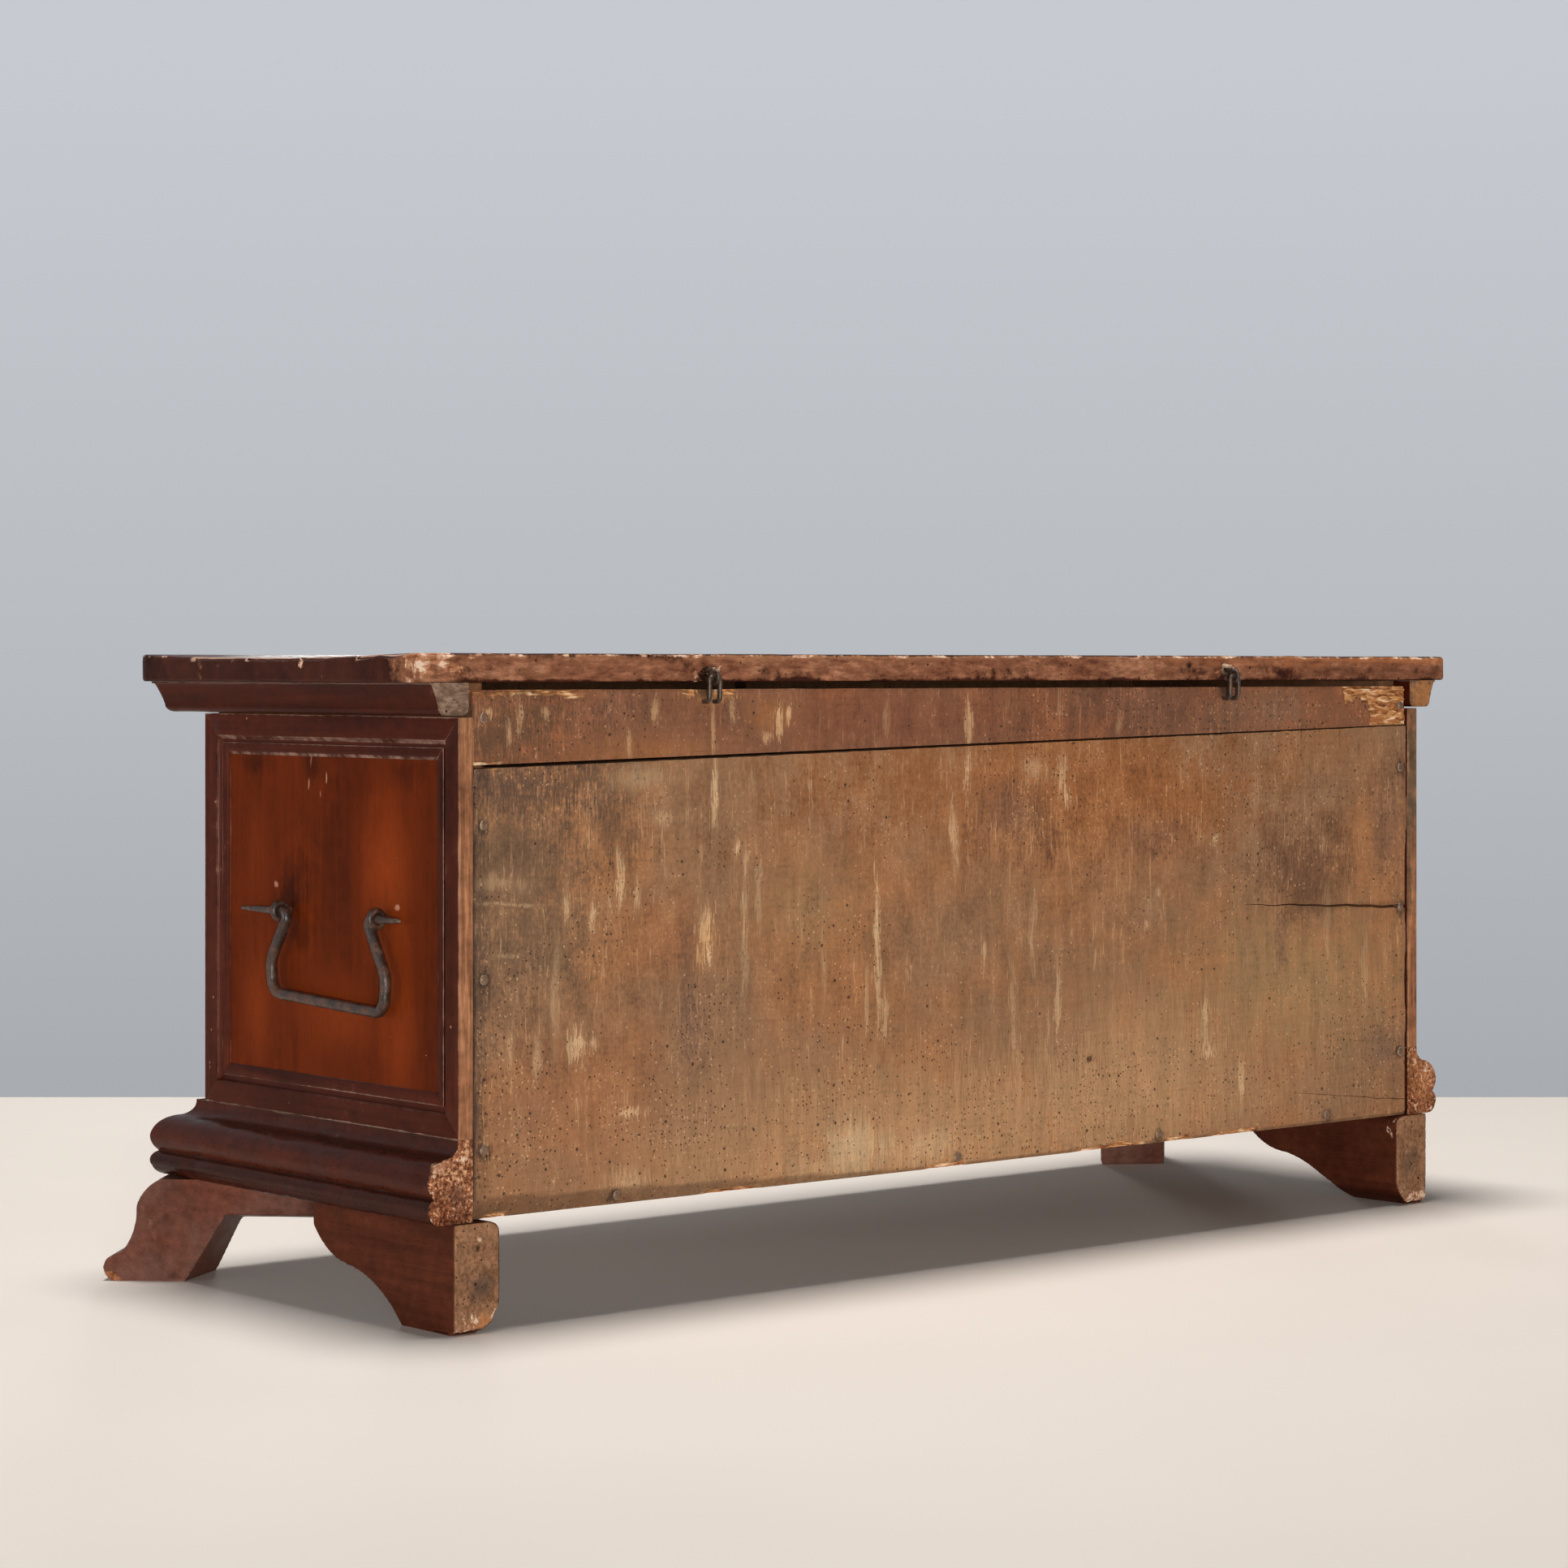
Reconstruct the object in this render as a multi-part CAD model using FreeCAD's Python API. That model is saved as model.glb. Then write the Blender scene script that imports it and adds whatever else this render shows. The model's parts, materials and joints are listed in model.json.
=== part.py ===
import FreeCAD, Part
import math
import os

# Antique chest on four feet, in millimetres.
# +Z is up, -Y is the front and +Y the back. The origin is on the floor,
# at the middle of the footprint's bounding box.

# Carcass. The boards stand over a floor that lies between them
body_length = 1260.0
body_depth = 420.0
foot_height = 98.0
body_top = 575.0
end_board_thickness = 24.0
front_board_thickness = 22.0
back_board_thickness = 20.0
bottom_board_thickness = 20.0
bottom_joint_gap = 1.0

# Back boards: a short tapered board above a tall one, with an open seam
back_top_drop = 6.0
back_upper_width_right = 68.5
back_upper_width_left = 42.5
seam_gap_right = 2.8
seam_gap_left = 0.6
back_lower_bevel = 5.0

# Mitred frames with a stepped inner moulding, and their flat fields
frame_thickness = 15.6
frame_width = 38.5
frame_top_drop = 30.4
panel_thickness = 10.0

# Base moulding
base_moulding_height = 73.6
base_moulding_reach = 48.0

# Lid
lid_edge_thickness = 26.6
lid_cup_depth = 4.0
lid_clearance = 0.4
lid_overhang_end = 61.0
lid_overhang_front = 53.0
lid_corner_radius = 18.0
lid_edge_radius = 3.0
lid_moulding_height = 29.4
lid_moulding_gap = 4.3
lid_moulding_width = 42.7
lid_moulding_inner_round = 7.0

# Rear feet: side brackets with an ogee wing
rear_foot_thickness = 49.7
rear_foot_outset = 24.5
rear_foot_wing_reach = 219.0
rear_foot_proud = 7.0
rear_foot_back_round = 9.0
rear_foot_inner_round = 10.0
rear_foot_heel_round_width = 22.0
rear_foot_heel_round_height = 44.0

# Front feet: thick consoles on the corners' diagonals
front_foot_thickness = 76.0
front_foot_toe_reach = 104.1
front_foot_heel_reach_back = 25.0
front_foot_heel_reach_front = 10.0
front_foot_wing_reach = 112.0
front_foot_arch_reach = 15.4
front_foot_arch_height_back = 64.5
front_foot_arch_height_front = 52.0

# Snipe hinges: a staple in the back and an eye in the lid, linked
hinge_x_right = 361.0
hinge_x_left = -343.0
hinge_axis_outset = 9.0
hinge_axis_rise = 5.0
hinge_wire_radius = 2.4
hinge_eye_wire_radius = 2.3
hinge_link_clearance = 0.8
hinge_leg_spread = 12.4
hinge_top_bend = 4.0
hinge_low_bend = 5.0
hinge_entry_drop = 12.0
hinge_clinch_length = 16.0
hinge_spike_length = 34.0
hinge_spike_radius = 2.8
hinge_spike_rise = 0.8

# Bail handles on the ends
handle_eye_spacing = 159.0
handle_eye_height = 361.0
handle_centre_from_back = 199.5
handle_axis_outset = 11.0
handle_ring_wire_radius = 2.5
handle_shank_height = 6.0
handle_clinch_length = 15.0
handle_clinch_thickness = 3.0
bail_bar_radius = 4.75
bail_pin_radius = 4.0
bail_pin_clearance = 0.8
bail_shoulder_gap = 1.5
bail_neck_inner_bend = 1.25
bail_half_width = 95.0
bail_drop_front = 77.0
bail_drop_rear = 85.0
bail_side_bend = 24.0
bail_corner_bend = 15.0
bail_tip_front = 62.0
bail_tip_rear = 34.0
bail_tip_radius = 1.3

# Nails in the back
nail_head_radius = 4.6
nail_head_height = 1.4
nail_shank_side = 3.4
nail_length = 44.0

# Lock
lock_width = 92.0
lock_height = 100.0
lock_depth = 22.0
lock_wall = 2.0
lock_top_drop = 8.0
catch_thickness = 4.0
catch_width = 13.0
catch_length = 38.0
catch_rim = 3.0
catch_plate_length = 46.0
catch_plate_thickness = 3.0
catch_swing_clearance = 2.6
bolt_height = 9.0
bolt_length = 50.0
bolt_gap = 2.5
bolt_guide_offset = 7.0
bolt_guide_thickness = 3.0
bolt_clearance = 0.35
keyhole_radius = 4.8
keyhole_slot_width = 5.2
keyhole_slot_length = 13.0
keyhole_drop = 75.0
keyhole_plate_width = 34.0
keyhole_plate_height = 62.0
keyhole_plate_thickness = 1.8
keyhole_pin_radius = 1.4
keyhole_pin_inset = 5.0
keyhole_pin_length = 9.0

# Cuts run past what they cut by this much
overrun = 4.0

# Outlines, in shares of the sizes that they follow. A pair of points is an arc
frame_profile_shares = (
    (0, 1),
    (0.53, 1),
    (0.56, 0.92),
    ((0.60, 0.77), (0.71, 0.72)),
    (0.71, 0.82),
    ((0.82, 0.85), (0.92, 0.80)),
    ((0.965, 0.74), (1, 0.68)),
    (1, 0))
base_profile_shares = (
    (0, 1),
    ((0.09, 0.86), (0.40, 0.79)),
    ((0.79, 0.70), (1, 0.52)),
    ((0.957, 0.41), (0.833, 0.33)),
    (0.815, 0.313),
    ((0.99, 0.23), (0.954, 0.117)),
    ((0.835, 0.036), (0.62, 0)))
lid_moulding_shares = (
    (1, 1),
    (1, 0.93),
    (0.95, 0.93),
    ((0.86, 0.62), (0.78, 0.24)),
    ((0.73, 0.07), (0.60, 0)))
rear_foot_shares = (
    (1, 1),
    (1, 0.77),
    ((0.915, 0.585), (0.73, 0.445)),
    ((0.53, 0.305), (0.347, 0)))
console_shares = (
    ((0.637, 0.86), (0.698, 0.72)),
    ((0.73, 0.47), (0.822, 0.296)),
    (0.946, 0.24),
    ((1, 0.09), (0.903, 0)))
console_neck_share = 0.475
bail_neck_run_share = 1.92
bail_side_share = 0.62
bail_corner_share = 0.96
nail_right_shares = (0.947, 0.745, 0.454, 0.134)
nail_left_shares = (0.955, 0.811, 0.486, 0.15)
nail_row_shares = (0.744, 0.071, -0.38, -0.79)
nail_face_share = 0.6
pin_head_share = 1.6
plate_corner_share = 0.8
plate_waist_share = 0.66
plate_crown_share = 1.15

# Places worked out from the sizes above
half_length = body_length / 2
diagonal = math.sqrt(2)
arc_inset_share = 1 - 1 / diagonal
hinge_eye_radius = hinge_wire_radius + hinge_link_clearance + hinge_eye_wire_radius
handle_ring_radius = bail_pin_radius + bail_pin_clearance + handle_ring_wire_radius
toe_spread = (front_foot_toe_reach + front_foot_thickness / 2) / diagonal
back_reach = hinge_axis_outset + hinge_eye_radius + hinge_eye_wire_radius
back_y = (body_depth + toe_spread - back_reach) / 2
front_y = back_y - body_depth
front_face_y = front_y - frame_thickness
inner_front_y = front_y + front_board_thickness
inner_back_y = back_y - back_board_thickness
inner_half_length = half_length - end_board_thickness
back_top = body_top - back_top_drop
seam_height_right = back_top - back_upper_width_right
seam_height_left = back_top - back_upper_width_left
base_top = foot_height + base_moulding_height
frame_top = body_top - frame_top_drop
frame_height = frame_top - base_top
lid_bottom = body_top + lid_clearance
lid_top = lid_bottom + lid_edge_thickness
lid_moulding_low = lid_bottom - lid_moulding_height
hinge_y = back_y + hinge_axis_outset
hinge_z = body_top + hinge_axis_rise
hinge_entry_z = back_top - hinge_entry_drop
handle_axis_x = half_length + panel_thickness + handle_axis_outset
handle_y = back_y - handle_centre_from_back
lock_top = body_top - lock_top_drop
lock_bottom = lock_top - lock_height
catch_y = inner_front_y + (lock_depth - lock_wall) / 2
catch_low = lid_bottom - catch_length
bolt_thickness = catch_width - 2 * catch_rim - 2 * bolt_clearance
bolt_z = catch_low + catch_rim + bolt_clearance + bolt_height / 2
keyhole_z = body_top - keyhole_drop
keyhole_plate_z = keyhole_z - keyhole_slot_length / 4

EX = FreeCAD.Vector(1, 0, 0)
EY = FreeCAD.Vector(0, 1, 0)
EZ = FreeCAD.Vector(0, 0, 1)


# Shape helpers

def vec(x, y, z):
    return FreeCAD.Vector(x, y, z)


def block(x_low, x_high, y_low, y_high, z_low, z_high):
    """A box between two values on each axis."""
    return Part.makeBox(x_high - x_low, y_high - y_low, z_high - z_low, vec(x_low, y_low, z_low))


def outline_face(start, moves, place):
    """A face inside an outline. A move is a point, or a pair of points for an arc."""
    edges = []
    here = place(*start)
    for move in moves:
        if isinstance(move[0], tuple):
            middle = place(*move[0])
            there = place(*move[1])
            edges.append(Part.Arc(here, middle, there).toShape())
        else:
            there = place(*move)
            edges.append(Part.LineSegment(here, there).toShape())
        here = there
    if here != place(*start):
        edges.append(Part.LineSegment(here, place(*start)).toShape())
    return Part.Face(Part.Wire(edges))


def sized(shares, size):
    """The moves of an outline from its shares, through a function that sizes a point."""
    moves = []
    for share in shares:
        is_arc = isinstance(share[0], tuple)
        moves.append(tuple(size(*point) for point in share) if is_arc else size(*share))
    return moves


def plan_prism(points, z_low, z_high):
    """An upright prism over a plan."""
    corners = [vec(x, y, z_low) for x, y in points]
    corners.append(corners[0])
    return Part.Face(Part.makePolygon(corners)).extrude(EZ * (z_high - z_low))


def placed(shape, origin, x_axis, y_axis):
    """A copy whose local X and Y lie along two given axes, from an origin."""
    z_axis = x_axis.cross(y_axis)
    matrix = FreeCAD.Matrix(
        x_axis.x, y_axis.x, z_axis.x, origin.x,
        x_axis.y, y_axis.y, z_axis.y, origin.y,
        x_axis.z, y_axis.z, z_axis.z, origin.z,
        0, 0, 0, 1)
    moved = shape.copy()
    moved.Placement = FreeCAD.Placement(matrix)
    return moved


def rounded_path(points, radii):
    """A wire of straight runs with a tangent arc at each inner point."""
    edges = []
    here = points[0]
    for before, corner, after, radius in zip(points, points[1:], points[2:], radii):
        to_before = (before - corner).normalize()
        to_after = (after - corner).normalize()
        half_angle = to_before.getAngle(to_after) / 2
        tangent = radius / math.tan(half_angle)
        entry = corner + to_before * tangent
        leave = corner + to_after * tangent
        to_centre = (to_before + to_after).normalize()
        middle = corner + to_centre * (radius / math.sin(half_angle) - radius)
        edges.append(Part.LineSegment(here, entry).toShape())
        edges.append(Part.Arc(entry, middle, leave).toShape())
        here = leave
    edges.append(Part.LineSegment(here, points[-1]).toShape())
    return Part.Wire(edges)


def swept_bar(points, radii, bar_radius):
    """A round bar bent along a path."""
    path = rounded_path(points, radii)
    ring = Part.Wire(Part.makeCircle(bar_radius, points[0], points[1] - points[0]))
    return path.makePipeShell([ring], True, False)


def mirrored(shape, side):
    """The right-hand shape itself, or its mirror image on the left."""
    return shape if side > 0 else shape.mirror(vec(0, 0, 0), EX)


# Carcass boards

def end_board(side):
    """The structural end, between the front board and the back boards."""
    x_values = sorted([side * inner_half_length, side * half_length])
    return block(*x_values, inner_front_y, inner_back_y, foot_height, body_top)


def front_board():
    """The structural front, over the ends' edges."""
    return block(-half_length, half_length, front_y, inner_front_y, foot_height, body_top)


def back_outline_board(points):
    """A back board from its outline in X and Z."""
    face = outline_face(points[0], points[1:], lambda x, z: vec(x, inner_back_y, z))
    return face.extrude(EY * back_board_thickness)


def back_board_upper():
    """The tapered top board of the back."""
    return back_outline_board([
        (half_length, back_top),
        (-half_length, back_top),
        (-half_length, seam_height_left + seam_gap_left / 2),
        (half_length, seam_height_right + seam_gap_right / 2)])


def back_board_lower():
    """The tall lower board of the back, with a hewn bevel along its bottom edge."""
    board = back_outline_board([
        (half_length, seam_height_right - seam_gap_right / 2),
        (-half_length, seam_height_left - seam_gap_left / 2),
        (-half_length, foot_height),
        (half_length, foot_height)])
    bevel = outline_face(
        (back_y + overrun, foot_height - overrun),
        [(back_y + overrun, foot_height + back_lower_bevel + overrun),
         (back_y - back_lower_bevel - overrun, foot_height - overrun)],
        lambda y, z: vec(-half_length - overrun, y, z))
    return board.cut(bevel.extrude(EX * (body_length + 2 * overrun)))


def bottom_board(place):
    """One of the two boards of the floor, at the front or at the rear."""
    middle_y = (inner_front_y + inner_back_y) / 2
    if place == "front":
        y_low, y_high = inner_front_y, middle_y - bottom_joint_gap / 2
    else:
        y_low, y_high = middle_y + bottom_joint_gap / 2, inner_back_y
    top = foot_height + bottom_board_thickness
    return block(-inner_half_length, inner_half_length, y_low, y_high, foot_height, top)


# Frames and their fields

def frame_member(length):
    """A member along local X, its outer edge on Y = 0, mitred at both ends."""
    moves = sized(frame_profile_shares, lambda out, rise: (out * frame_width, rise * frame_thickness))
    bar = outline_face((0, 0), moves, lambda out, rise: vec(0, out, rise)).extrude(EX * length)
    plan = [(0, 0), (length, 0), (length - frame_width, frame_width), (frame_width, frame_width)]
    return bar.common(plan_prism(plan, -overrun, frame_thickness + overrun))


def frame_on(width, origin, x_axis):
    """The four members and the field of one frame, set upright on a face of the carcass."""
    turns = {
        "bottom": (vec(0, 0, 0), EX, EY, width),
        "high": (vec(width, 0, 0), EY, -EX, frame_height),
        "top": (vec(width, frame_height, 0), -EX, -EY, width),
        "low": (vec(0, frame_height, 0), -EY, EX, frame_height)}
    pieces = {
        "field": block(
            frame_width, width - frame_width, frame_width, frame_height - frame_width, 0, panel_thickness)}
    for key, (corner, along, across, length) in turns.items():
        pieces[key] = placed(frame_member(length), corner, along, across)
    upright = placed(Part.Vertex(), origin, x_axis, EZ).Placement
    for piece in pieces.values():
        piece.Placement = upright.multiply(piece.Placement)
    return pieces


def end_frame(side):
    """The frame of one end."""
    if side > 0:
        pieces = frame_on(body_depth, vec(half_length, front_y, base_top), EY)
        front_key, rear_key = "low", "high"
    else:
        pieces = frame_on(body_depth, vec(-half_length, back_y, base_top), -EY)
        front_key, rear_key = "high", "low"
    return {
        "end_rail_top": pieces["top"],
        "end_rail_bottom": pieces["bottom"],
        "end_stile_front": pieces[front_key],
        "end_stile_rear": pieces[rear_key],
        "end_panel": pieces["field"]}


def front_frame(side):
    """One of the two frames of the front, side by side."""
    left_x = 0 if side > 0 else -half_length
    pieces = frame_on(half_length, vec(left_x, front_y, base_top), EX)
    outer_key, inner_key = ("high", "low") if side > 0 else ("low", "high")
    return {
        "front_rail_top": pieces["top"],
        "front_rail_bottom": pieces["bottom"],
        "front_stile_outer": pieces[outer_key],
        "front_stile_inner": pieces[inner_key],
        "front_panel": pieces["field"]}


# Mouldings that run round both ends and the front

def base_profile(place):
    """Cavetto, torus and lower lip, out from the board's face."""
    spread = base_moulding_reach - frame_thickness
    moves = sized(
        base_profile_shares,
        lambda out, rise: (frame_thickness + out * spread, foot_height + rise * base_moulding_height))
    return outline_face((0, foot_height), [(0, base_top)] + moves, place)


def lid_moulding_profile(place):
    """Section under the plank: a canted hollow face and a rounded inner corner."""
    inner = lid_moulding_gap
    curve = lid_moulding_inner_round
    near = curve * arc_inset_share
    moves = sized(
        lid_moulding_shares,
        lambda out, rise: (inner + out * lid_moulding_width, lid_moulding_low + rise * lid_moulding_height))
    corner = [
        (inner + curve, lid_moulding_low),
        ((inner + near, lid_moulding_low + near), (inner, lid_moulding_low + curve))]
    return outline_face((inner, lid_bottom), moves + corner, place)


def end_run(profile, side, inner, reach):
    """A moulding along one end, square at the back and mitred at the front."""
    corner_x = half_length + inner
    corner_y = front_y - inner
    far = reach + overrun
    face = profile(lambda out, z: vec(side * (half_length + out), back_y, z))
    bar = face.extrude(-EY * (back_y - corner_y + far))
    plan = [
        (side * corner_x, corner_y),
        (side * (corner_x + far), corner_y - far),
        (side * (corner_x + far), back_y),
        (side * corner_x, back_y)]
    return bar.common(plan_prism(plan, foot_height - overrun, lid_top))


def front_run(profile, inner, reach):
    """A moulding along the front, mitred at both ends."""
    corner_x = half_length + inner
    corner_y = front_y - inner
    far = reach + overrun
    face = profile(lambda out, z: vec(-corner_x - far, front_y - out, z))
    bar = face.extrude(EX * 2 * (corner_x + far))
    plan = [
        (-corner_x - far, corner_y - far),
        (corner_x + far, corner_y - far),
        (corner_x, corner_y),
        (-corner_x, corner_y)]
    return bar.common(plan_prism(plan, foot_height - overrun, lid_top))


# Lid

def lid_plan():
    """The plank's outline from above, with rounded front corners."""
    x_high = half_length + lid_overhang_end
    y_low = front_y - lid_overhang_front
    corner = lid_corner_radius
    near = corner * arc_inset_share
    return outline_face(
        (x_high, back_y),
        [(-x_high, back_y),
         (-x_high, y_low + corner),
         ((-x_high + near, y_low + near), (-x_high + corner, y_low)),
         (x_high - corner, y_low),
         ((x_high - near, y_low + near), (x_high, y_low + corner))],
        lambda x, y: vec(x, y, lid_bottom))


def lid_plank():
    """The single plank, its top cupped across the grain and its edges worn round."""
    x_high = half_length + lid_overhang_end
    y_low = front_y - lid_overhang_front
    middle_y = (back_y + y_low) / 2
    hollow = outline_face(
        (y_low - overrun, lid_top + overrun),
        [(y_low - overrun, lid_top),
         ((middle_y, lid_top - lid_cup_depth), (back_y + overrun, lid_top)),
         (back_y + overrun, lid_top + overrun)],
        lambda y, z: vec(-x_high - overrun, y, z))
    plank = lid_plan().extrude(EZ * lid_edge_thickness)
    plank = plank.cut(hollow.extrude(EX * 2 * (x_high + overrun)))
    level = [edge for edge in plank.Edges if edge.BoundBox.ZLength < lid_edge_thickness / 2]
    return plank.makeFillet(min(lid_edge_radius, (lid_edge_thickness - lid_cup_depth) / 3), level)


# Feet

def rear_foot_section(inner_x):
    """The bracket's section across its thickness, worn round on the inner side."""
    outer_x = inner_x + rear_foot_thickness
    curve = rear_foot_inner_round
    near = curve * arc_inset_share
    wide = rear_foot_heel_round_width
    tall = rear_foot_heel_round_height
    start_y = back_y + rear_foot_proud + overrun
    face = outline_face(
        (outer_x, foot_height),
        [(inner_x + curve, foot_height),
         ((inner_x + near, foot_height - near), (inner_x, foot_height - curve)),
         (inner_x, tall),
         ((inner_x + wide * arc_inset_share, tall * arc_inset_share), (inner_x + wide, 0)),
         (outer_x, 0)],
        lambda x, z: vec(x, start_y, z))
    return face.extrude(-EY * (rear_foot_wing_reach + rear_foot_proud + 2 * overrun))


def rear_foot(side):
    """A side bracket with an ogee wing towards the front and a raw back face."""
    inner_x = half_length + rear_foot_outset - rear_foot_thickness
    proud = rear_foot_proud
    curve = rear_foot_back_round
    near = curve * arc_inset_share
    moves = sized(rear_foot_shares, lambda run, rise: (run * rear_foot_wing_reach, rise * foot_height))
    heel = [(curve - proud, 0), ((near - proud, near), (-proud, curve))]
    face = outline_face((-proud, foot_height), moves + heel, lambda run, z: vec(inner_x, back_y - run, z))
    foot = face.extrude(EX * rear_foot_thickness).common(rear_foot_section(inner_x))
    return mirrored(foot, side)


def console_wire(heel_reach, arch_height, place):
    """Outline of a console foot, from the neck over the toe to the heel and the wing."""
    moves = sized(console_shares, lambda out, rise: (out * front_foot_toe_reach, rise * foot_height))
    wing = [
        (heel_reach, 0),
        (-front_foot_arch_reach, arch_height),
        (-front_foot_wing_reach, arch_height),
        (-front_foot_wing_reach, foot_height)]
    neck = (console_neck_share * front_foot_toe_reach, foot_height)
    return outline_face(neck, moves + wing, place).OuterWire


def flat_soled(foot):
    """A foot whose sole is cut anew by the floor's plane."""
    sole = min(foot.Faces, key=lambda face: face.CenterOfMass.z)
    box = foot.BoundBox
    below = block(
        box.XMin - overrun, box.XMax + overrun, box.YMin - overrun, box.YMax + overrun,
        -2 * overrun, 0)
    return foot.fuse(sole.extrude(EZ * -overrun)).cut(below)


def front_foot(side):
    """A thick console on the corner's diagonal, its heel hewn on a twist."""
    def on_face(across):
        def place(out, z):
            return vec(half_length + (out + across) / diagonal, front_y + (across - out) / diagonal, z)
        return place

    half = front_foot_thickness / 2
    back_wire = console_wire(front_foot_heel_reach_back, front_foot_arch_height_back, on_face(half))
    front_wire = console_wire(front_foot_heel_reach_front, front_foot_arch_height_front, on_face(-half))
    return mirrored(flat_soled(Part.makeLoft([back_wire, front_wire], True, True)), side)


# Hinges

def hinge_staple(x):
    """A staple whose crossbar is the lid's axis; its legs are clinched inside the back."""
    clinch_y = inner_back_y - hinge_wire_radius
    points = []
    for leg in (1, -1):
        leg_x = x + leg * hinge_leg_spread / 2
        run = [
            vec(leg_x, clinch_y, hinge_entry_z - hinge_clinch_length),
            vec(leg_x, clinch_y, hinge_entry_z),
            vec(leg_x, hinge_y, hinge_entry_z),
            vec(leg_x, hinge_y, hinge_z)]
        points += run if leg > 0 else run[::-1]
    bends = [hinge_top_bend, hinge_low_bend, hinge_top_bend]
    return swept_bar(points, bends + bends[::-1], hinge_wire_radius)


def lid_eye(x):
    """A forged eye round the staple's crossbar, with a spike driven into the plank's edge."""
    ring = Part.makeTorus(hinge_eye_radius, hinge_eye_wire_radius, vec(x, hinge_y, hinge_z), EX)
    spike_length = hinge_axis_outset + hinge_spike_length
    spike_start = vec(x, hinge_y, hinge_z + hinge_eye_radius + hinge_spike_rise)
    spike = Part.makeCylinder(hinge_spike_radius, spike_length, spike_start, -EY)
    return ring.fuse(spike).removeSplitter()


# Handles

def bail_bar(x, shoulder):
    """The bent bar between the two pins."""
    neck_bend = bail_bar_radius + bail_neck_inner_bend
    neck = shoulder - neck_bend * bail_neck_run_share

    def half(way, drop):
        outline = [
            (shoulder, 0),
            (neck, 0),
            (bail_half_width, drop * bail_side_share),
            (bail_half_width * bail_corner_share, drop)]
        return [vec(x, handle_y + way * out, handle_eye_height - fall) for out, fall in outline]

    points = half(-1, bail_drop_front) + half(1, bail_drop_rear)[::-1]
    bends = [neck_bend, bail_side_bend, bail_corner_bend]
    return swept_bar(points, bends + bends[::-1], bail_bar_radius)


def bail(side):
    """A lyre-shaped bail whose ends turn outwards through the eyes and taper to a tip."""
    x = side * handle_axis_x
    play = handle_ring_wire_radius + bail_shoulder_gap
    shoulder = handle_eye_spacing / 2 - play
    tip_start = handle_eye_spacing / 2 + play
    bar = bail_bar(x, shoulder)
    for way, tip_length in ((-1, bail_tip_front), (1, bail_tip_rear)):
        pin_start = vec(x, handle_y + way * (shoulder - bail_pin_radius), handle_eye_height)
        pin_length = tip_start - shoulder + bail_pin_radius
        pin = Part.makeCylinder(bail_pin_radius, pin_length, pin_start, EY * way)
        tip_base = vec(x, handle_y + way * tip_start, handle_eye_height)
        tip = Part.makeCone(bail_pin_radius, bail_tip_radius, tip_length, tip_base, EY * way)
        bar = bar.fuse(pin.fuse(tip))
    return bar.removeSplitter()


def handle_staple(side, y):
    """An eye round the bail's pin, with a square shank clinched inside the end board."""
    half_side = handle_ring_wire_radius
    half_shank = handle_shank_height / 2
    clinch_x = inner_half_length - handle_clinch_thickness
    ring = Part.makeTorus(
        handle_ring_radius, handle_ring_wire_radius, vec(handle_axis_x, y, handle_eye_height), EY)
    shank = block(
        clinch_x, handle_axis_x - handle_ring_radius, y - half_side, y + half_side,
        handle_eye_height - half_shank, handle_eye_height + half_shank)
    clinch = block(
        clinch_x, inner_half_length, y - half_side, y + half_side,
        handle_eye_height - handle_clinch_length, handle_eye_height + handle_clinch_length)
    return mirrored(ring.fuse(shank.fuse(clinch)).removeSplitter(), side)


def handle_staples(side):
    """Both eyes of one handle."""
    half = handle_eye_spacing / 2
    return [handle_staple(side, handle_y + way * half) for way in (-1, 1)]


# Nails

def nail(x, z):
    """A forged nail with a round head and a square shank."""
    head = Part.makeCone(
        nail_head_radius, nail_head_radius * nail_face_share, nail_head_height, vec(x, back_y, z), EY)
    half = nail_shank_side / 2
    shank = block(x - half, x + half, back_y - nail_length, back_y, z - half, z + half)
    return head.fuse(shank)


def back_nails():
    """The nails of the back: a column at each end and a row along the bottom."""
    column_x = half_length - end_board_thickness / 2
    height = back_top - foot_height
    nails = [nail(column_x, foot_height + share * height) for share in nail_right_shares]
    nails += [nail(-column_x, foot_height + share * height) for share in nail_left_shares]
    row_z = foot_height + bottom_board_thickness / 2
    nails += [nail(share * half_length, row_z) for share in nail_row_shares]
    return nails


# Lock

def keyhole(y_low, y_high):
    """The keyhole as a solid, a round eye above a slot."""
    eye = Part.makeCylinder(keyhole_radius, y_high - y_low, vec(0, y_low, keyhole_z), EY)
    half = keyhole_slot_width / 2
    slot = block(-half, half, y_low, y_high, keyhole_z - keyhole_slot_length, keyhole_z)
    return eye.fuse(slot)


def keyhole_plate():
    """The iron plate round the keyhole, waisted, on the joint of the two front frames."""
    wide = keyhole_plate_width / 2
    tall = keyhole_plate_height / 2
    corner = plate_corner_share
    moves = sized(
        (((0, -plate_crown_share), (corner, -1)),
         ((plate_waist_share, 0), (corner, 1)),
         ((0, plate_crown_share), (-corner, 1)),
         ((-plate_waist_share, 0), (-corner, -1))),
        lambda across, up: (across * wide, keyhole_plate_z + up * tall))
    start = (-corner * wide, keyhole_plate_z - tall)
    face = outline_face(start, moves, lambda x, z: vec(x, front_face_y, z))
    plate = face.extrude(-EY * keyhole_plate_thickness)
    return plate.cut(keyhole(front_face_y - keyhole_plate_thickness - overrun, front_face_y + overrun))


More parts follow.
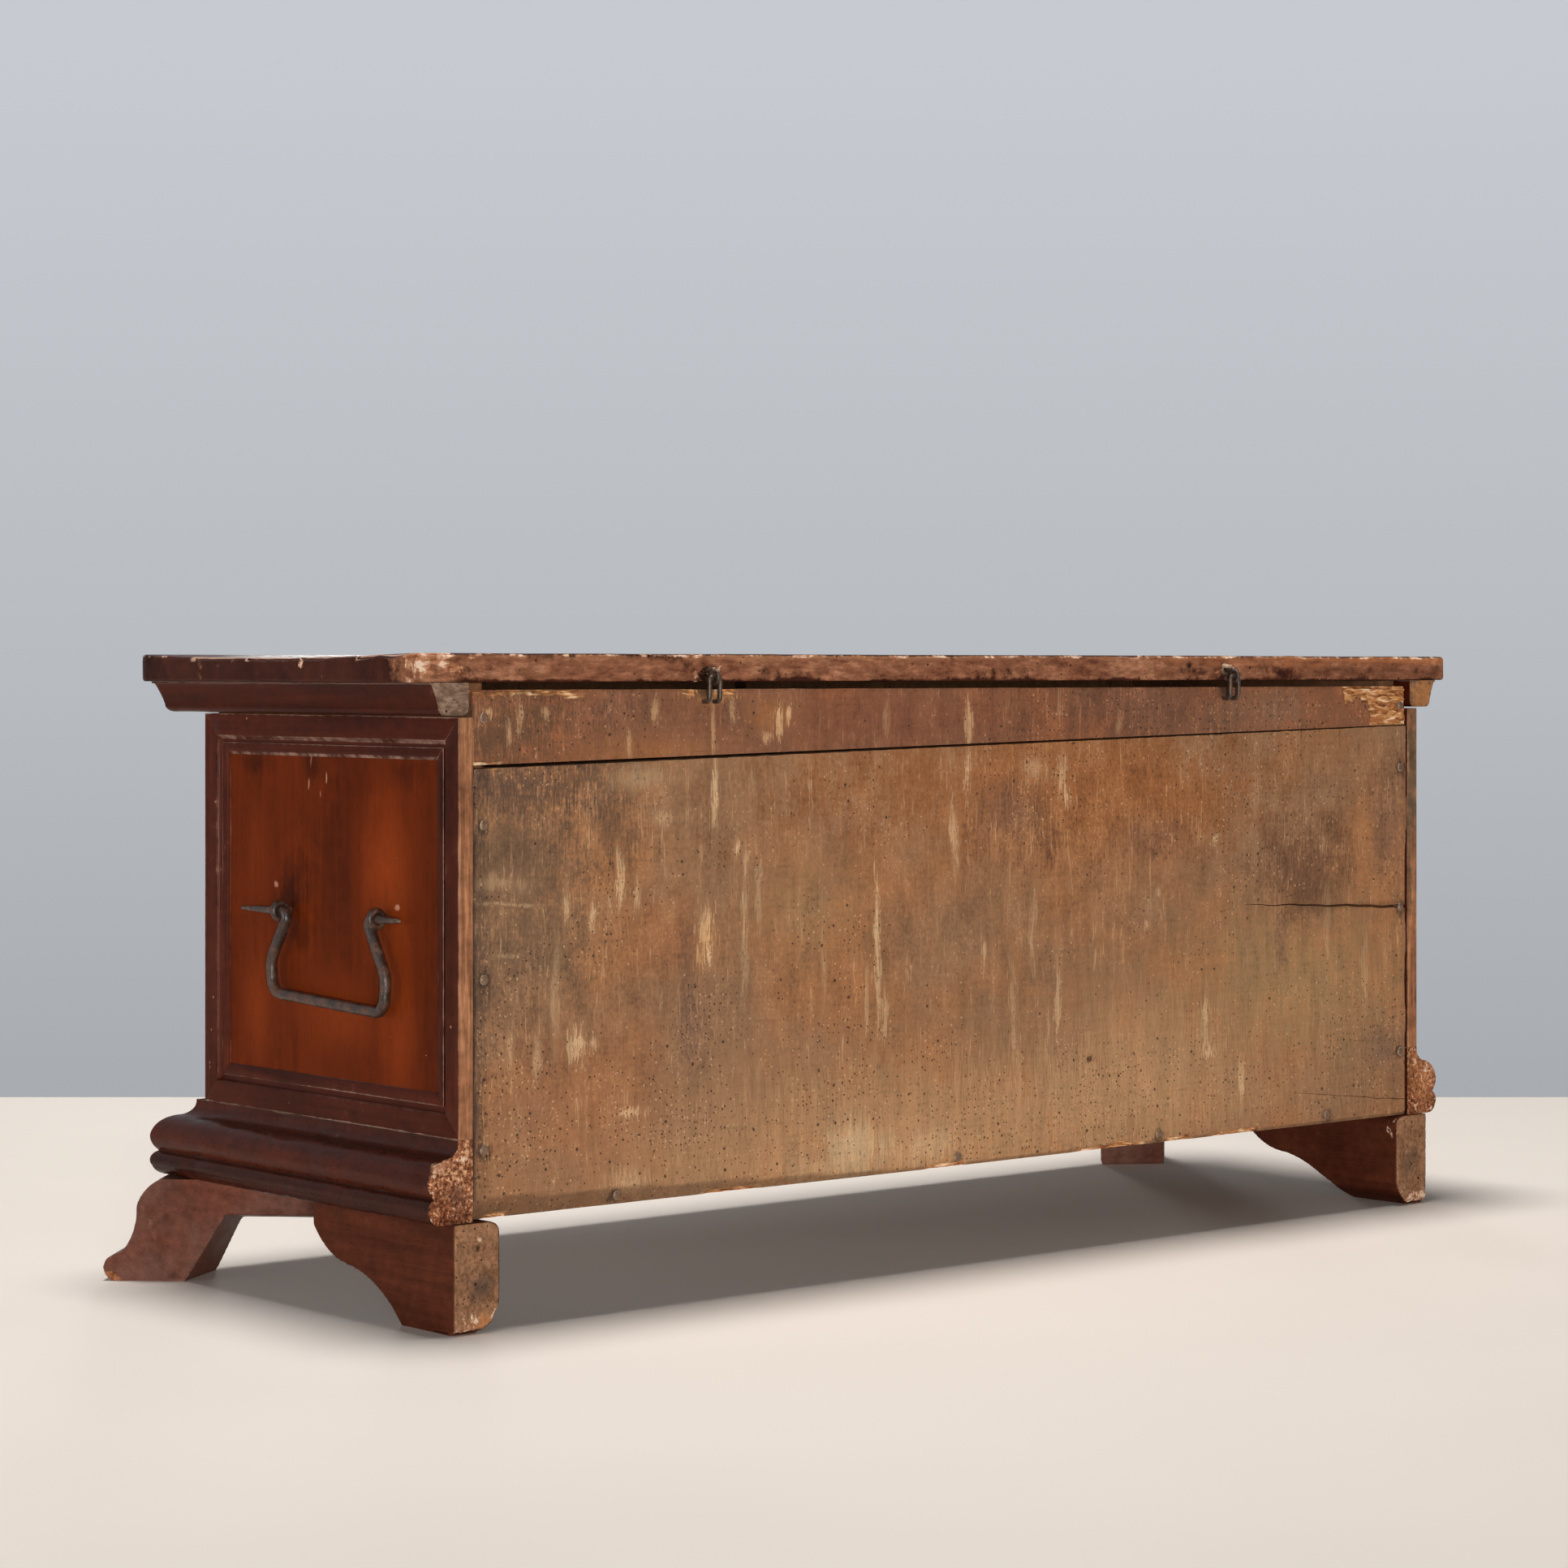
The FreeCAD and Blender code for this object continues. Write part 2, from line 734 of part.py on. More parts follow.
def keyhole_pins():
    """Four pins near the corners of the keyhole plate."""
    inset_x = plate_corner_share * keyhole_plate_width / 2 - keyhole_pin_inset
    inset_z = keyhole_plate_height / 2 - keyhole_pin_inset
    head_radius = keyhole_pin_radius * pin_head_share
    face_y = front_face_y - keyhole_plate_thickness
    pins = []
    for sign_x in (1, -1):
        for sign_z in (1, -1):
            at = vec(sign_x * inset_x, face_y, keyhole_plate_z + sign_z * inset_z)
            head = Part.makeCone(head_radius, keyhole_pin_radius, keyhole_pin_radius, at, -EY)
            shank = Part.makeCylinder(keyhole_pin_radius, keyhole_pin_length, at, EY)
            pins.append(head.fuse(shank))
    return pins


def bolt_box(x_low, x_high, clearance):
    """The bolt's bar between two places, grown by a clearance."""
    half_y = bolt_thickness / 2 + clearance
    half_z = bolt_height / 2 + clearance
    return block(x_low, x_high, catch_y - half_y, catch_y + half_y, bolt_z - half_z, bolt_z + half_z)


def lock_bolt():
    """The sliding bolt, drawn back at rest."""
    start = catch_thickness / 2 + bolt_gap
    return bolt_box(start, start + bolt_length, 0)


def lock_case():
    """An iron case inside the front, with guides for the bolt and a slot for the catch."""
    half = lock_width / 2
    y_high = inner_front_y + lock_depth
    wall = lock_wall
    case = block(-half, half, inner_front_y, y_high, lock_bottom, lock_top)
    hollow = block(
        wall - half, half - wall, inner_front_y - overrun, y_high - wall,
        lock_bottom + wall, lock_top - wall)
    guide_x = catch_thickness / 2 + bolt_guide_offset
    guide = block(
        guide_x, guide_x + bolt_guide_thickness, inner_front_y, y_high - wall,
        lock_bottom + wall, lock_top - wall)
    slot_half_x = catch_thickness / 2 + catch_swing_clearance
    slot_half_y = catch_width / 2 + catch_swing_clearance
    slot = block(
        -slot_half_x, slot_half_x, catch_y - slot_half_y, catch_y + slot_half_y,
        lock_top - wall - overrun, lock_top + overrun)
    channel = bolt_box(guide_x - overrun, half + overrun, bolt_clearance)
    return case.cut(hollow).fuse(guide).cut(slot).cut(channel).removeSplitter()


def lid_catch():
    """A plate under the plank with a tongue whose eye takes the bolt."""
    half_x = catch_thickness / 2
    half_y = catch_width / 2
    plate_half = catch_plate_length / 2
    plate_top = lid_bottom + catch_plate_thickness
    tongue = block(-half_x, half_x, catch_y - half_y, catch_y + half_y, catch_low, plate_top)
    eye = bolt_box(-half_x - overrun, half_x + overrun, bolt_clearance)
    plate = block(-plate_half, plate_half, catch_y - half_y, catch_y + half_y, lid_bottom, plate_top)
    return tongue.cut(eye).fuse(plate).removeSplitter()


# Assembly

def wooden_nodes():
    """The boards, the frames with their fields, the mouldings and the feet."""
    nodes = {
        "front_board": front_board(),
        "back_board_upper": back_board_upper(),
        "back_board_lower": back_board_lower(),
        "bottom_board_front": bottom_board("front"),
        "bottom_board_rear": bottom_board("rear"),
        "base_moulding_front": front_run(base_profile, 0, base_moulding_reach),
        "lid_plank": lid_plank(),
        "lid_moulding_front": front_run(lid_moulding_profile, lid_moulding_gap, lid_moulding_width)}
    for side, name in ((1, "right"), (-1, "left")):
        nodes["end_board_" + name] = end_board(side)
        for key, piece in {**end_frame(side), **front_frame(side)}.items():
            nodes[key + "_" + name] = piece
        nodes["base_moulding_" + name] = end_run(base_profile, side, 0, base_moulding_reach)
        nodes["lid_moulding_" + name] = end_run(
            lid_moulding_profile, side, lid_moulding_gap, lid_moulding_width)
        nodes["foot_rear_" + name] = rear_foot(side)
        nodes["foot_front_" + name] = front_foot(side)
    return nodes


def iron_nodes():
    """The hinges, handles, nails and lock, each as a list of solids."""
    return {
        "hinge_staple_right": [hinge_staple(hinge_x_right)],
        "hinge_staple_left": [hinge_staple(hinge_x_left)],
        "lid_eye_right": [lid_eye(hinge_x_right)],
        "lid_eye_left": [lid_eye(hinge_x_left)],
        "handle_staples_right": handle_staples(1),
        "handle_staples_left": handle_staples(-1),
        "bail_right": [bail(1)],
        "bail_left": [bail(-1)],
        "back_nails": back_nails(),
        "lock_case": [lock_case()],
        "lock_bolt": [lock_bolt()],
        "lid_catch": [lid_catch()],
        "keyhole_plate": [keyhole_plate()],
        "keyhole_pins": keyhole_pins()}


def bore_boards(nodes, iron):
    """Cut the seats of the iron fittings, and the keyhole, in what they pass through."""
    seats = {
        "hinge_staple_right": ["back_board_upper"],
        "hinge_staple_left": ["back_board_upper"],
        "lid_eye_right": ["lid_plank"],
        "lid_eye_left": ["lid_plank"],
        "lid_catch": ["lid_plank"],
        "handle_staples_right": ["end_board_right", "end_panel_right"],
        "handle_staples_left": ["end_board_left", "end_panel_left"],
        "back_nails": ["back_board_upper", "back_board_lower", "end_board_right", "end_board_left",
                       "bottom_board_rear"],
        "keyhole_pins": ["front_stile_inner_right", "front_stile_inner_left"]}
    for fitting, boards in seats.items():
        for board in boards:
            nodes[board] = nodes[board].cut(iron[fitting])
    hole = keyhole(front_face_y - overrun, inner_front_y + overrun)
    for board in ("front_board", "front_stile_inner_right", "front_stile_inner_left"):
        nodes[board] = nodes[board].cut(hole)
    iron["keyhole_plate"] = [iron["keyhole_plate"][0].cut(iron["keyhole_pins"])]


def main():
    os.makedirs("parts", exist_ok=True)
    nodes = wooden_nodes()
    iron = iron_nodes()
    bore_boards(nodes, iron)
    for name, solids in iron.items():
        nodes[name] = solids[0] if len(solids) == 1 else Part.makeCompound(solids)
    for name, shape in nodes.items():
        shape.exportStep(os.path.join("parts", name + ".step"))


main()
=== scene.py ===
"""An antique cassone seen from its back corner: its worn pieces, finishes, floor, light and camera."""
import json
import logging
import math
from dataclasses import dataclass
from enum import Enum
from typing import Callable, Sequence

import bmesh
import bpy
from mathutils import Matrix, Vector, noise

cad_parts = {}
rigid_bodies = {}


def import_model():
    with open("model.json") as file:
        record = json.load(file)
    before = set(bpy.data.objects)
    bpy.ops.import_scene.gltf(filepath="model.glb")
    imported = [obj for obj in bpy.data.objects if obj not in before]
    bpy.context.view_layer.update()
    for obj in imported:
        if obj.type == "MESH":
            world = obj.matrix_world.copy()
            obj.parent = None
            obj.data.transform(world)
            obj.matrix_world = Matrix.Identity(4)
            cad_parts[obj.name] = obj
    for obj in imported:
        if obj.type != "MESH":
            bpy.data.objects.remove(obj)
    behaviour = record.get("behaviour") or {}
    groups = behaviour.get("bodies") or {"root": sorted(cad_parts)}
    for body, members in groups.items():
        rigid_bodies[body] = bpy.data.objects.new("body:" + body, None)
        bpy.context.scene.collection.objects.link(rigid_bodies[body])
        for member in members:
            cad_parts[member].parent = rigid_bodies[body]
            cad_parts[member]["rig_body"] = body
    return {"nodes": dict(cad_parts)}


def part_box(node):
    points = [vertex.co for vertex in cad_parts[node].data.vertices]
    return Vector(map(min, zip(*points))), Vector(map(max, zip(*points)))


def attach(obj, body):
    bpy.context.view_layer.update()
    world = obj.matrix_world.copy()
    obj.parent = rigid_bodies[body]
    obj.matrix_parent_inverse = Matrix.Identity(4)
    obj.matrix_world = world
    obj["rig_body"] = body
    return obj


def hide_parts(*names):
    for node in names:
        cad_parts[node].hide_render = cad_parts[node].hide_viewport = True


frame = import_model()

log = logging.getLogger("cassone")
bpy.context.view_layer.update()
MM = 0.001
DULL_ANGLE = 34.0  # Bends below this many degrees count as curves, and sharper ones as arrises.
NODES = frame["nodes"]

Colour = tuple[float, float, float, float]
Triple = tuple[float, float, float]
Socket = bpy.types.NodeSocket
Material = bpy.types.Material
Thing = bpy.types.Object
Rule = Callable[[Vector, Vector], float]


class Axis(Enum):
    """One of the three directions of the frame."""

    X = 0
    Y = 1
    Z = 2

    def scale(self, along: float, across: float) -> Triple:
        """The mapping scale of a pattern that is drawn out along this axis."""
        return tuple(along if axis == self.value else across for axis in range(3))

    def unit(self, length: float = 1.0) -> Vector:
        """A vector of that length along this axis."""
        return Vector(self.scale(length, 0.0))


class Side(Enum):
    """The two ends of the chest."""

    RIGHT = "right"
    LEFT = "left"


def paint(red: int, green: int, blue: int) -> Colour:
    """Turns a colour as seen on a screen into the linear colour that a shader takes.

    Args:
        red: The red level, from 0 to 255.
        green: The green level, from 0 to 255.
        blue: The blue level, from 0 to 255.

    Returns:
        The linear colour, opaque.
    """
    shares = [level / 255 for level in (red, green, blue)]
    low = [share / 12.92 for share in shares]
    high = [((share + 0.055) / 1.055) ** 2.4 for share in shares]
    mixed = [a if share <= 0.04045 else b for share, a, b in zip(shares, low, high)]
    return (mixed[0], mixed[1], mixed[2], 1.0)


def swell(place: Vector, size: float, seed: float = 0.0) -> float:
    """A smooth random height from about -1 to 1, with bumps of that size; the seed picks the pattern."""
    return noise.noise(place / size + Vector((seed, seed * 2.0, seed * 3.0)))


def rise(value: float, low: float, high: float) -> float:
    """A smooth step from 0 at low to 1 at high, or the other way round if high is the lower."""
    share = min(1.0, max(0.0, (value - low) / (high - low)))
    return share * share * (3.0 - 2.0 * share)


class Tree:
    """The node tree of a material or a world, emptied."""

    def __init__(self, owner: bpy.types.ID) -> None:
        """Takes the tree of its owner.

        Args:
            owner: The material or world.
        """
        owner.use_nodes = True
        self.nodes = owner.node_tree.nodes
        self.links = owner.node_tree.links
        self.nodes.clear()

    def add(self, kind: str, inputs: dict[object, object] | None = None,
            **settings: object) -> bpy.types.Node:
        """Adds a shader node, sets its options and fills its inputs.

        Args:
            kind: The node's kind, without its common beginning.
            inputs: What each input gets, by the input's name or number.
            settings: The node's options, by name.

        Returns:
            The new node.
        """
        node = self.nodes.new("ShaderNode" + kind)
        for name, value in settings.items():
            setattr(node, name, value)
        for socket, value in (inputs or {}).items():
            self.put(node.inputs[socket], value)
        return node

    def put(self, socket: Socket, value: object) -> None:
        """Links a socket to another, or sets its value.

        Args:
            socket: The input to fill.
            value: The socket to link to it, or a plain value.
        """
        if isinstance(value, bpy.types.NodeSocket):
            self.links.new(value, socket)
        else:
            socket.default_value = value

    def maths(self, operation: str, first: object, second: object = 0.0) -> Socket:
        """The result of one sum of two values."""
        return self.add("Math", {0: first, 1: second}, operation=operation).outputs[0]


class Graph(Tree):
    """The node tree of one finish, with short calls for the patterns that it uses."""

    def __init__(self, name: str) -> None:
        """Starts a material with a shader at its output and the piece's own coordinates.

        Args:
            name: The material's name.
        """
        self.material = bpy.data.materials.new(name)
        super().__init__(self.material)
        self.shader = self.add("BsdfPrincipled")
        self.add("OutputMaterial", {"Surface": self.shader.outputs["BSDF"]})
        self.place = self.add("TexCoord").outputs["Object"]

    def scaled(self, scale: Triple, place: Socket | None = None, turn: Triple = (0, 0, 0)) -> Socket:
        """Coordinates, by default the piece's own, scaled and then turned by angles in radians."""
        inputs = {"Vector": place or self.place, "Scale": scale, "Rotation": turn}
        return self.add("Mapping", inputs).outputs["Vector"]

    def noise(self, place: Socket, detail: float = 4.0, rough: float = 0.55, twist: float = 0.0) -> Socket:
        """Random cloud from 0 to 1 at those coordinates."""
        inputs = {"Vector": place, "Scale": 1.0, "Detail": detail, "Roughness": rough, "Distortion": twist}
        return self.add("TexNoise", inputs).outputs["Fac"]

    def cloud(self, per_metre: float, detail: float = 4.0, rough: float = 0.6) -> Socket:
        """Random cloud with that many swells per metre each way."""
        return self.noise(self.scaled((per_metre,) * 3), detail, rough)

    def grain(self, axis: Axis, along: float, across: float, detail: float = 4.0, twist: float = 0.0,
              place: Socket | None = None) -> Socket:
        """Random streaks along an axis, with that many per metre along and across it."""
        return self.noise(self.scaled(axis.scale(along, across), place), detail, 0.6, twist)

    def times(self, first: object, second: object) -> Socket:
        """The product of two values."""
        return self.maths("MULTIPLY", first, second)

    def plus(self, first: object, second: object) -> Socket:
        """The sum of two values."""
        return self.maths("ADD", first, second)

    def sway(self, start: float, parts: Sequence[tuple[Socket, float]]) -> Socket:
        """A value that swings about start with each cloud, by its strength.

        Args:
            start: The middle value.
            parts: The clouds and their strengths.

        Returns:
            The value.
        """
        total: object = start
        for cloud, strength in parts:
            total = self.plus(self.times(self.plus(cloud, -0.5), strength), total)
        return total

    def band(self, value: Socket, low: float, high: float, start: float = 0.0, end: float = 1.0) -> Socket:
        """A smooth step from start to end, as the value goes from low to high."""
        inputs = {"Value": value, "From Min": low, "From Max": high, "To Min": start, "To Max": end}
        return self.add("MapRange", inputs, interpolation_type="SMOOTHSTEP").outputs["Result"]

    def mix(self, share: object, first: object, second: object) -> Socket:
        """Two colours, mixed by the share of the second."""
        return self.add("Mix", {0: share, 6: first, 7: second}, data_type="RGBA").outputs[2]

    def steps(self, value: Socket, tones: Sequence[Colour], low: float = 0.34,
              high: float = 0.66) -> Socket:
        """A colour that goes through several tones, as the value goes from low to high.

        Args:
            value: The value that drives it.
            tones: The tones, in order.
            low: Where the first tone begins to give way.
            high: Where the last tone is whole.

        Returns:
            The colour.
        """
        colour: object = tones[0]
        width = (high - low) / (len(tones) - 1)
        for number, tone in enumerate(tones[1:]):
            start = low + width * number
            colour = self.mix(self.band(value, start, start + width), colour, tone)
        return colour

    def lit(self, colour: Socket, level: Socket) -> Socket:
        """A colour made lighter or darker by a factor."""
        return self.add("VectorMath", {0: colour, "Scale": level}, operation="SCALE").outputs[0]

    def attribute(self, name: str) -> Socket:
        """A value stored on the piece's points, or 0 where it has none."""
        return self.add("Attribute", attribute_name=name).outputs["Fac"]

    def ragged(self, reach: float, pitch: float) -> Socket:
        """The piece's coordinates, shifted at random by up to about reach, in waves of that pitch.

        Args:
            reach: About the largest shift, in metres.
            pitch: The waves' length in metres.

        Returns:
            The new coordinates.
        """
        inputs = {"Vector": self.place, "Scale": 1.0 / pitch, "Detail": 3.0}
        wave = self.add("TexNoise", inputs).outputs["Color"]
        inputs = {0: wave, 1: (2.0 * reach,) * 3, 2: (-reach,) * 3}
        shift = self.add("VectorMath", inputs, operation="MULTIPLY_ADD").outputs[0]
        return self.add("VectorMath", {0: self.place, 1: shift}, operation="ADD").outputs[0]

    def dots(self, pitch: float, radius: float, share: object, face: Axis) -> Socket:
        """Round marks scattered over a face, 1 in a mark and 0 outside.

        Args:
            pitch: The mean distance between the places that may hold a mark, in metres.
            radius: A mark's radius in metres.
            share: The share of the places that hold one.
            face: The way that the face looks.

        Returns:
            The marks' mask.
        """
        turn = {Axis.Y: (math.pi / 2, 0, 0), Axis.X: (0, math.pi / 2, 0), Axis.Z: (0, 0, 0)}[face]
        place = self.scaled((1, 1, 1), self.ragged(radius * 0.6, radius * 2), turn)
        node = self.add("TexVoronoi", {"Vector": place, "Scale": 1.0 / pitch}, voronoi_dimensions="2D",
                        feature="F1")
        chance = self.add("SeparateColor", {0: node.outputs["Color"]})
        present = self.maths("LESS_THAN", chance.outputs[0], share)
        size = self.plus(self.times(chance.outputs[1], radius / pitch * 0.8), radius / pitch * 0.4)
        near = self.maths("SUBTRACT", size, node.outputs["Distance"])
        return self.times(present, self.band(near, 0.0, radius / pitch * 0.35))

    def finish(self, colour: Socket, rough: Socket, relief: Sequence[tuple[Socket, float]],
               **sockets: object) -> Material:
        """Closes the tree.

        Args:
            colour: The base colour.
            rough: The roughness.
            relief: Masks, each with the height that a value of 1 stands for, in metres.
            sockets: Values for the shader's other sockets, by their names with underscores.

        Returns:
            The finished material.
        """
        height: object = 0.0
        for mask, depth in relief:
            height = self.plus(self.times(mask, depth), height)
        bump = self.add("Bump", {"Distance": 1.0, "Height": height})
        sockets |= {"Base_Color": colour, "Roughness": rough, "Normal": bump.outputs["Normal"]}
        for name, value in sockets.items():
            self.put(self.shader.inputs[name.replace("_", " ")], value)
        return self.material


@dataclass(frozen=True)
class Stain:
    """A soft patch of another tone on a face: its middle and reaches in millimetres."""

    across: float
    height: float
    reach_across: float
    reach_height: float
    tone: Colour
    strength: float = 0.6
    core: float = 0.1
    rag: float = 2.6
    face: Axis = Axis.Y

    def laid(self, graph: Graph, place: Socket, broken: Socket, colour: Socket) -> Socket:
        """Lays the patch over a colour, with an edge that a cloud breaks up.

        Args:
            graph: The finish's nodes.
            place: The coordinates.
            broken: The cloud that breaks its edge.
            colour: The colour below it.

        Returns:
            The colour with the patch.
        """
        wide, tall = 1 / (self.reach_across * MM), 1 / (self.reach_height * MM)
        across, height = -self.across * MM * wide, -self.height * MM * tall
        level = Axis.X if self.face is Axis.Y else Axis.Y
        scale, shift = level.unit(wide) + Axis.Z.unit(tall), level.unit(across) + Axis.Z.unit(height)
        way = graph.add("VectorMath", {0: place, 1: scale, 2: shift}, operation="MULTIPLY_ADD").outputs[0]
        length = graph.add("VectorMath", {0: way}, operation="LENGTH").outputs["Value"]
        spot = graph.plus(length, graph.times(broken, self.rag))
        return graph.mix(graph.band(spot, 1.0, self.core, 0.0, self.strength), colour, self.tone)


@dataclass(frozen=True)
class BareWood:
    """Raw aged wood: dull grain, scrapes across it, stains, worm holes and broken places."""

    name: str
    cool: Colour
    warm: Colour
    deep: Colour
    pale: Colour
    axis: Axis = Axis.X
    scrape: Axis = Axis.Z
    face: Axis = Axis.Y
    worm: float = 0.3
    scraped: float = 1.0
    stains: tuple[Stain, ...] = ()

    def material(self) -> Material:
        """Builds the finish.

        Returns:
            The finished material.
        """
        g = Graph(self.name)
        loose = g.ragged(0.007, 0.075)
        hairs = g.grain(self.scrape, 36.0, 560.0, 3.0, place=loose)
        smears = g.grain(self.scrape, 8.0, 95.0, 4.0, place=loose)
        fibres = g.grain(self.axis, 9.0, 300.0, 4.0, place=loose)
        mottle = g.noise(g.scaled((34, 34, 24)), 5.0, 0.66)
        grit = g.noise(g.scaled((290, 290, 200)), 4.0, 0.75)
        clouds = g.noise(g.scaled((3.8, 3.8, 5.0)), 4.0, 0.6)
        colour = g.mix(g.band(clouds, 0.38, 0.62), self.cool, self.warm)
        broken = g.sway(0.0, ((hairs, 0.9), (mottle, 0.7), (grit, 0.7)))
        for stain in self.stains:
            colour = stain.laid(g, loose, broken, colour)
        colour = g.lit(colour, g.sway(1.0, ((hairs, 0.30 * self.scraped), (smears, 0.55 * self.scraped),
                                            (fibres, 0.30), (mottle, 1.2), (grit, 1.3))))
        clumps = g.band(mottle, 0.48, 0.62)
        colour = g.mix(g.times(g.band(grit, 0.60, 0.74, 0.0, 0.55), clumps), colour, self.pale)
        scrapes = g.sway(0.5, ((hairs, 1.0), (smears, 0.7)))
        colour = g.mix(g.band(scrapes, 0.62, 0.80, 0.0, 0.45 * self.scraped), colour, self.pale)
        dirt = g.sway(0.5, ((grit, 0.8), (mottle, 0.8)))
        colour = g.mix(g.band(dirt, 0.36, 0.26, 0.0, 0.3), colour, self.deep)
        flecks = g.dots(0.0052, 0.00085, g.band(mottle, 0.50, 0.66, 0.0, 0.55), self.face)
        colour = g.mix(g.times(flecks, 0.55), colour, self.pale)
        colour = g.mix(g.band(fibres, 0.36, 0.26, 0.0, 0.18), colour, self.deep)
        eaten = g.plus(g.band(g.noise(g.scaled((9, 9, 14)), 4.0), 0.46, 0.64, self.worm * 0.03, self.worm),
                       g.times(g.attribute("eaten"), g.band(mottle, 0.38, 0.62, 0.08, 0.7)))
        torn = g.dots(0.0066, 0.0012, g.times(eaten, 0.6), self.face)
        colour = g.mix(g.times(torn, 0.5), colour, self.pale)
        small = g.dots(0.0064, 0.00088, eaten, self.face)
        large = g.dots(0.017, 0.0014, g.times(eaten, 0.7), self.face)
        holes = g.maths("MAXIMUM", small, large)
        # The worm holes are painted dark, as painted shade in them.
        colour = g.mix(g.times(holes, 0.80), colour, paint(50, 30, 19))
        splinters = g.grain(self.axis, 50.0, 230.0, 5.0, 1.0)
        fresh = g.band(g.sway(g.attribute("fresh"), ((splinters, 0.9), (mottle, 0.9))), 0.30, 0.70)
        raw = g.steps(splinters, (paint(92, 50, 28), paint(160, 100, 56), paint(200, 144, 92),
                                  paint(240, 208, 172)))
        colour = g.mix(fresh, colour, raw)
        # Painted shade, where the piece's shade value says.
        colour = g.mix(g.times(g.attribute("shade"), 0.85), colour, paint(38, 25, 18))
        rough = g.band(grit, 0.3, 0.7, 0.66, 0.86)
        relief = [(fibres, 0.00008), (hairs, 0.00008), (smears, 0.00018), (mottle, 0.00070),
                  (grit, 0.00024), (holes, -0.0012), (g.times(splinters, fresh), 0.0020)]
        return g.finish(colour, rough, relief, Specular_IOR_Level=0.25)


@dataclass(frozen=True)
class Raw:
    """The wood that shows where a varnished piece is bare: its tones and how its fibres lie."""

    tones: tuple[Colour, ...] = (paint(70, 42, 28), paint(120, 76, 52), paint(176, 128, 92))
    fibres: Triple = (160.0, 160.0, 160.0)
    worm: float = 0.5
    depth: float = 0.0010
    contrast: float = 1.0
    stains: tuple[Stain, ...] = ()


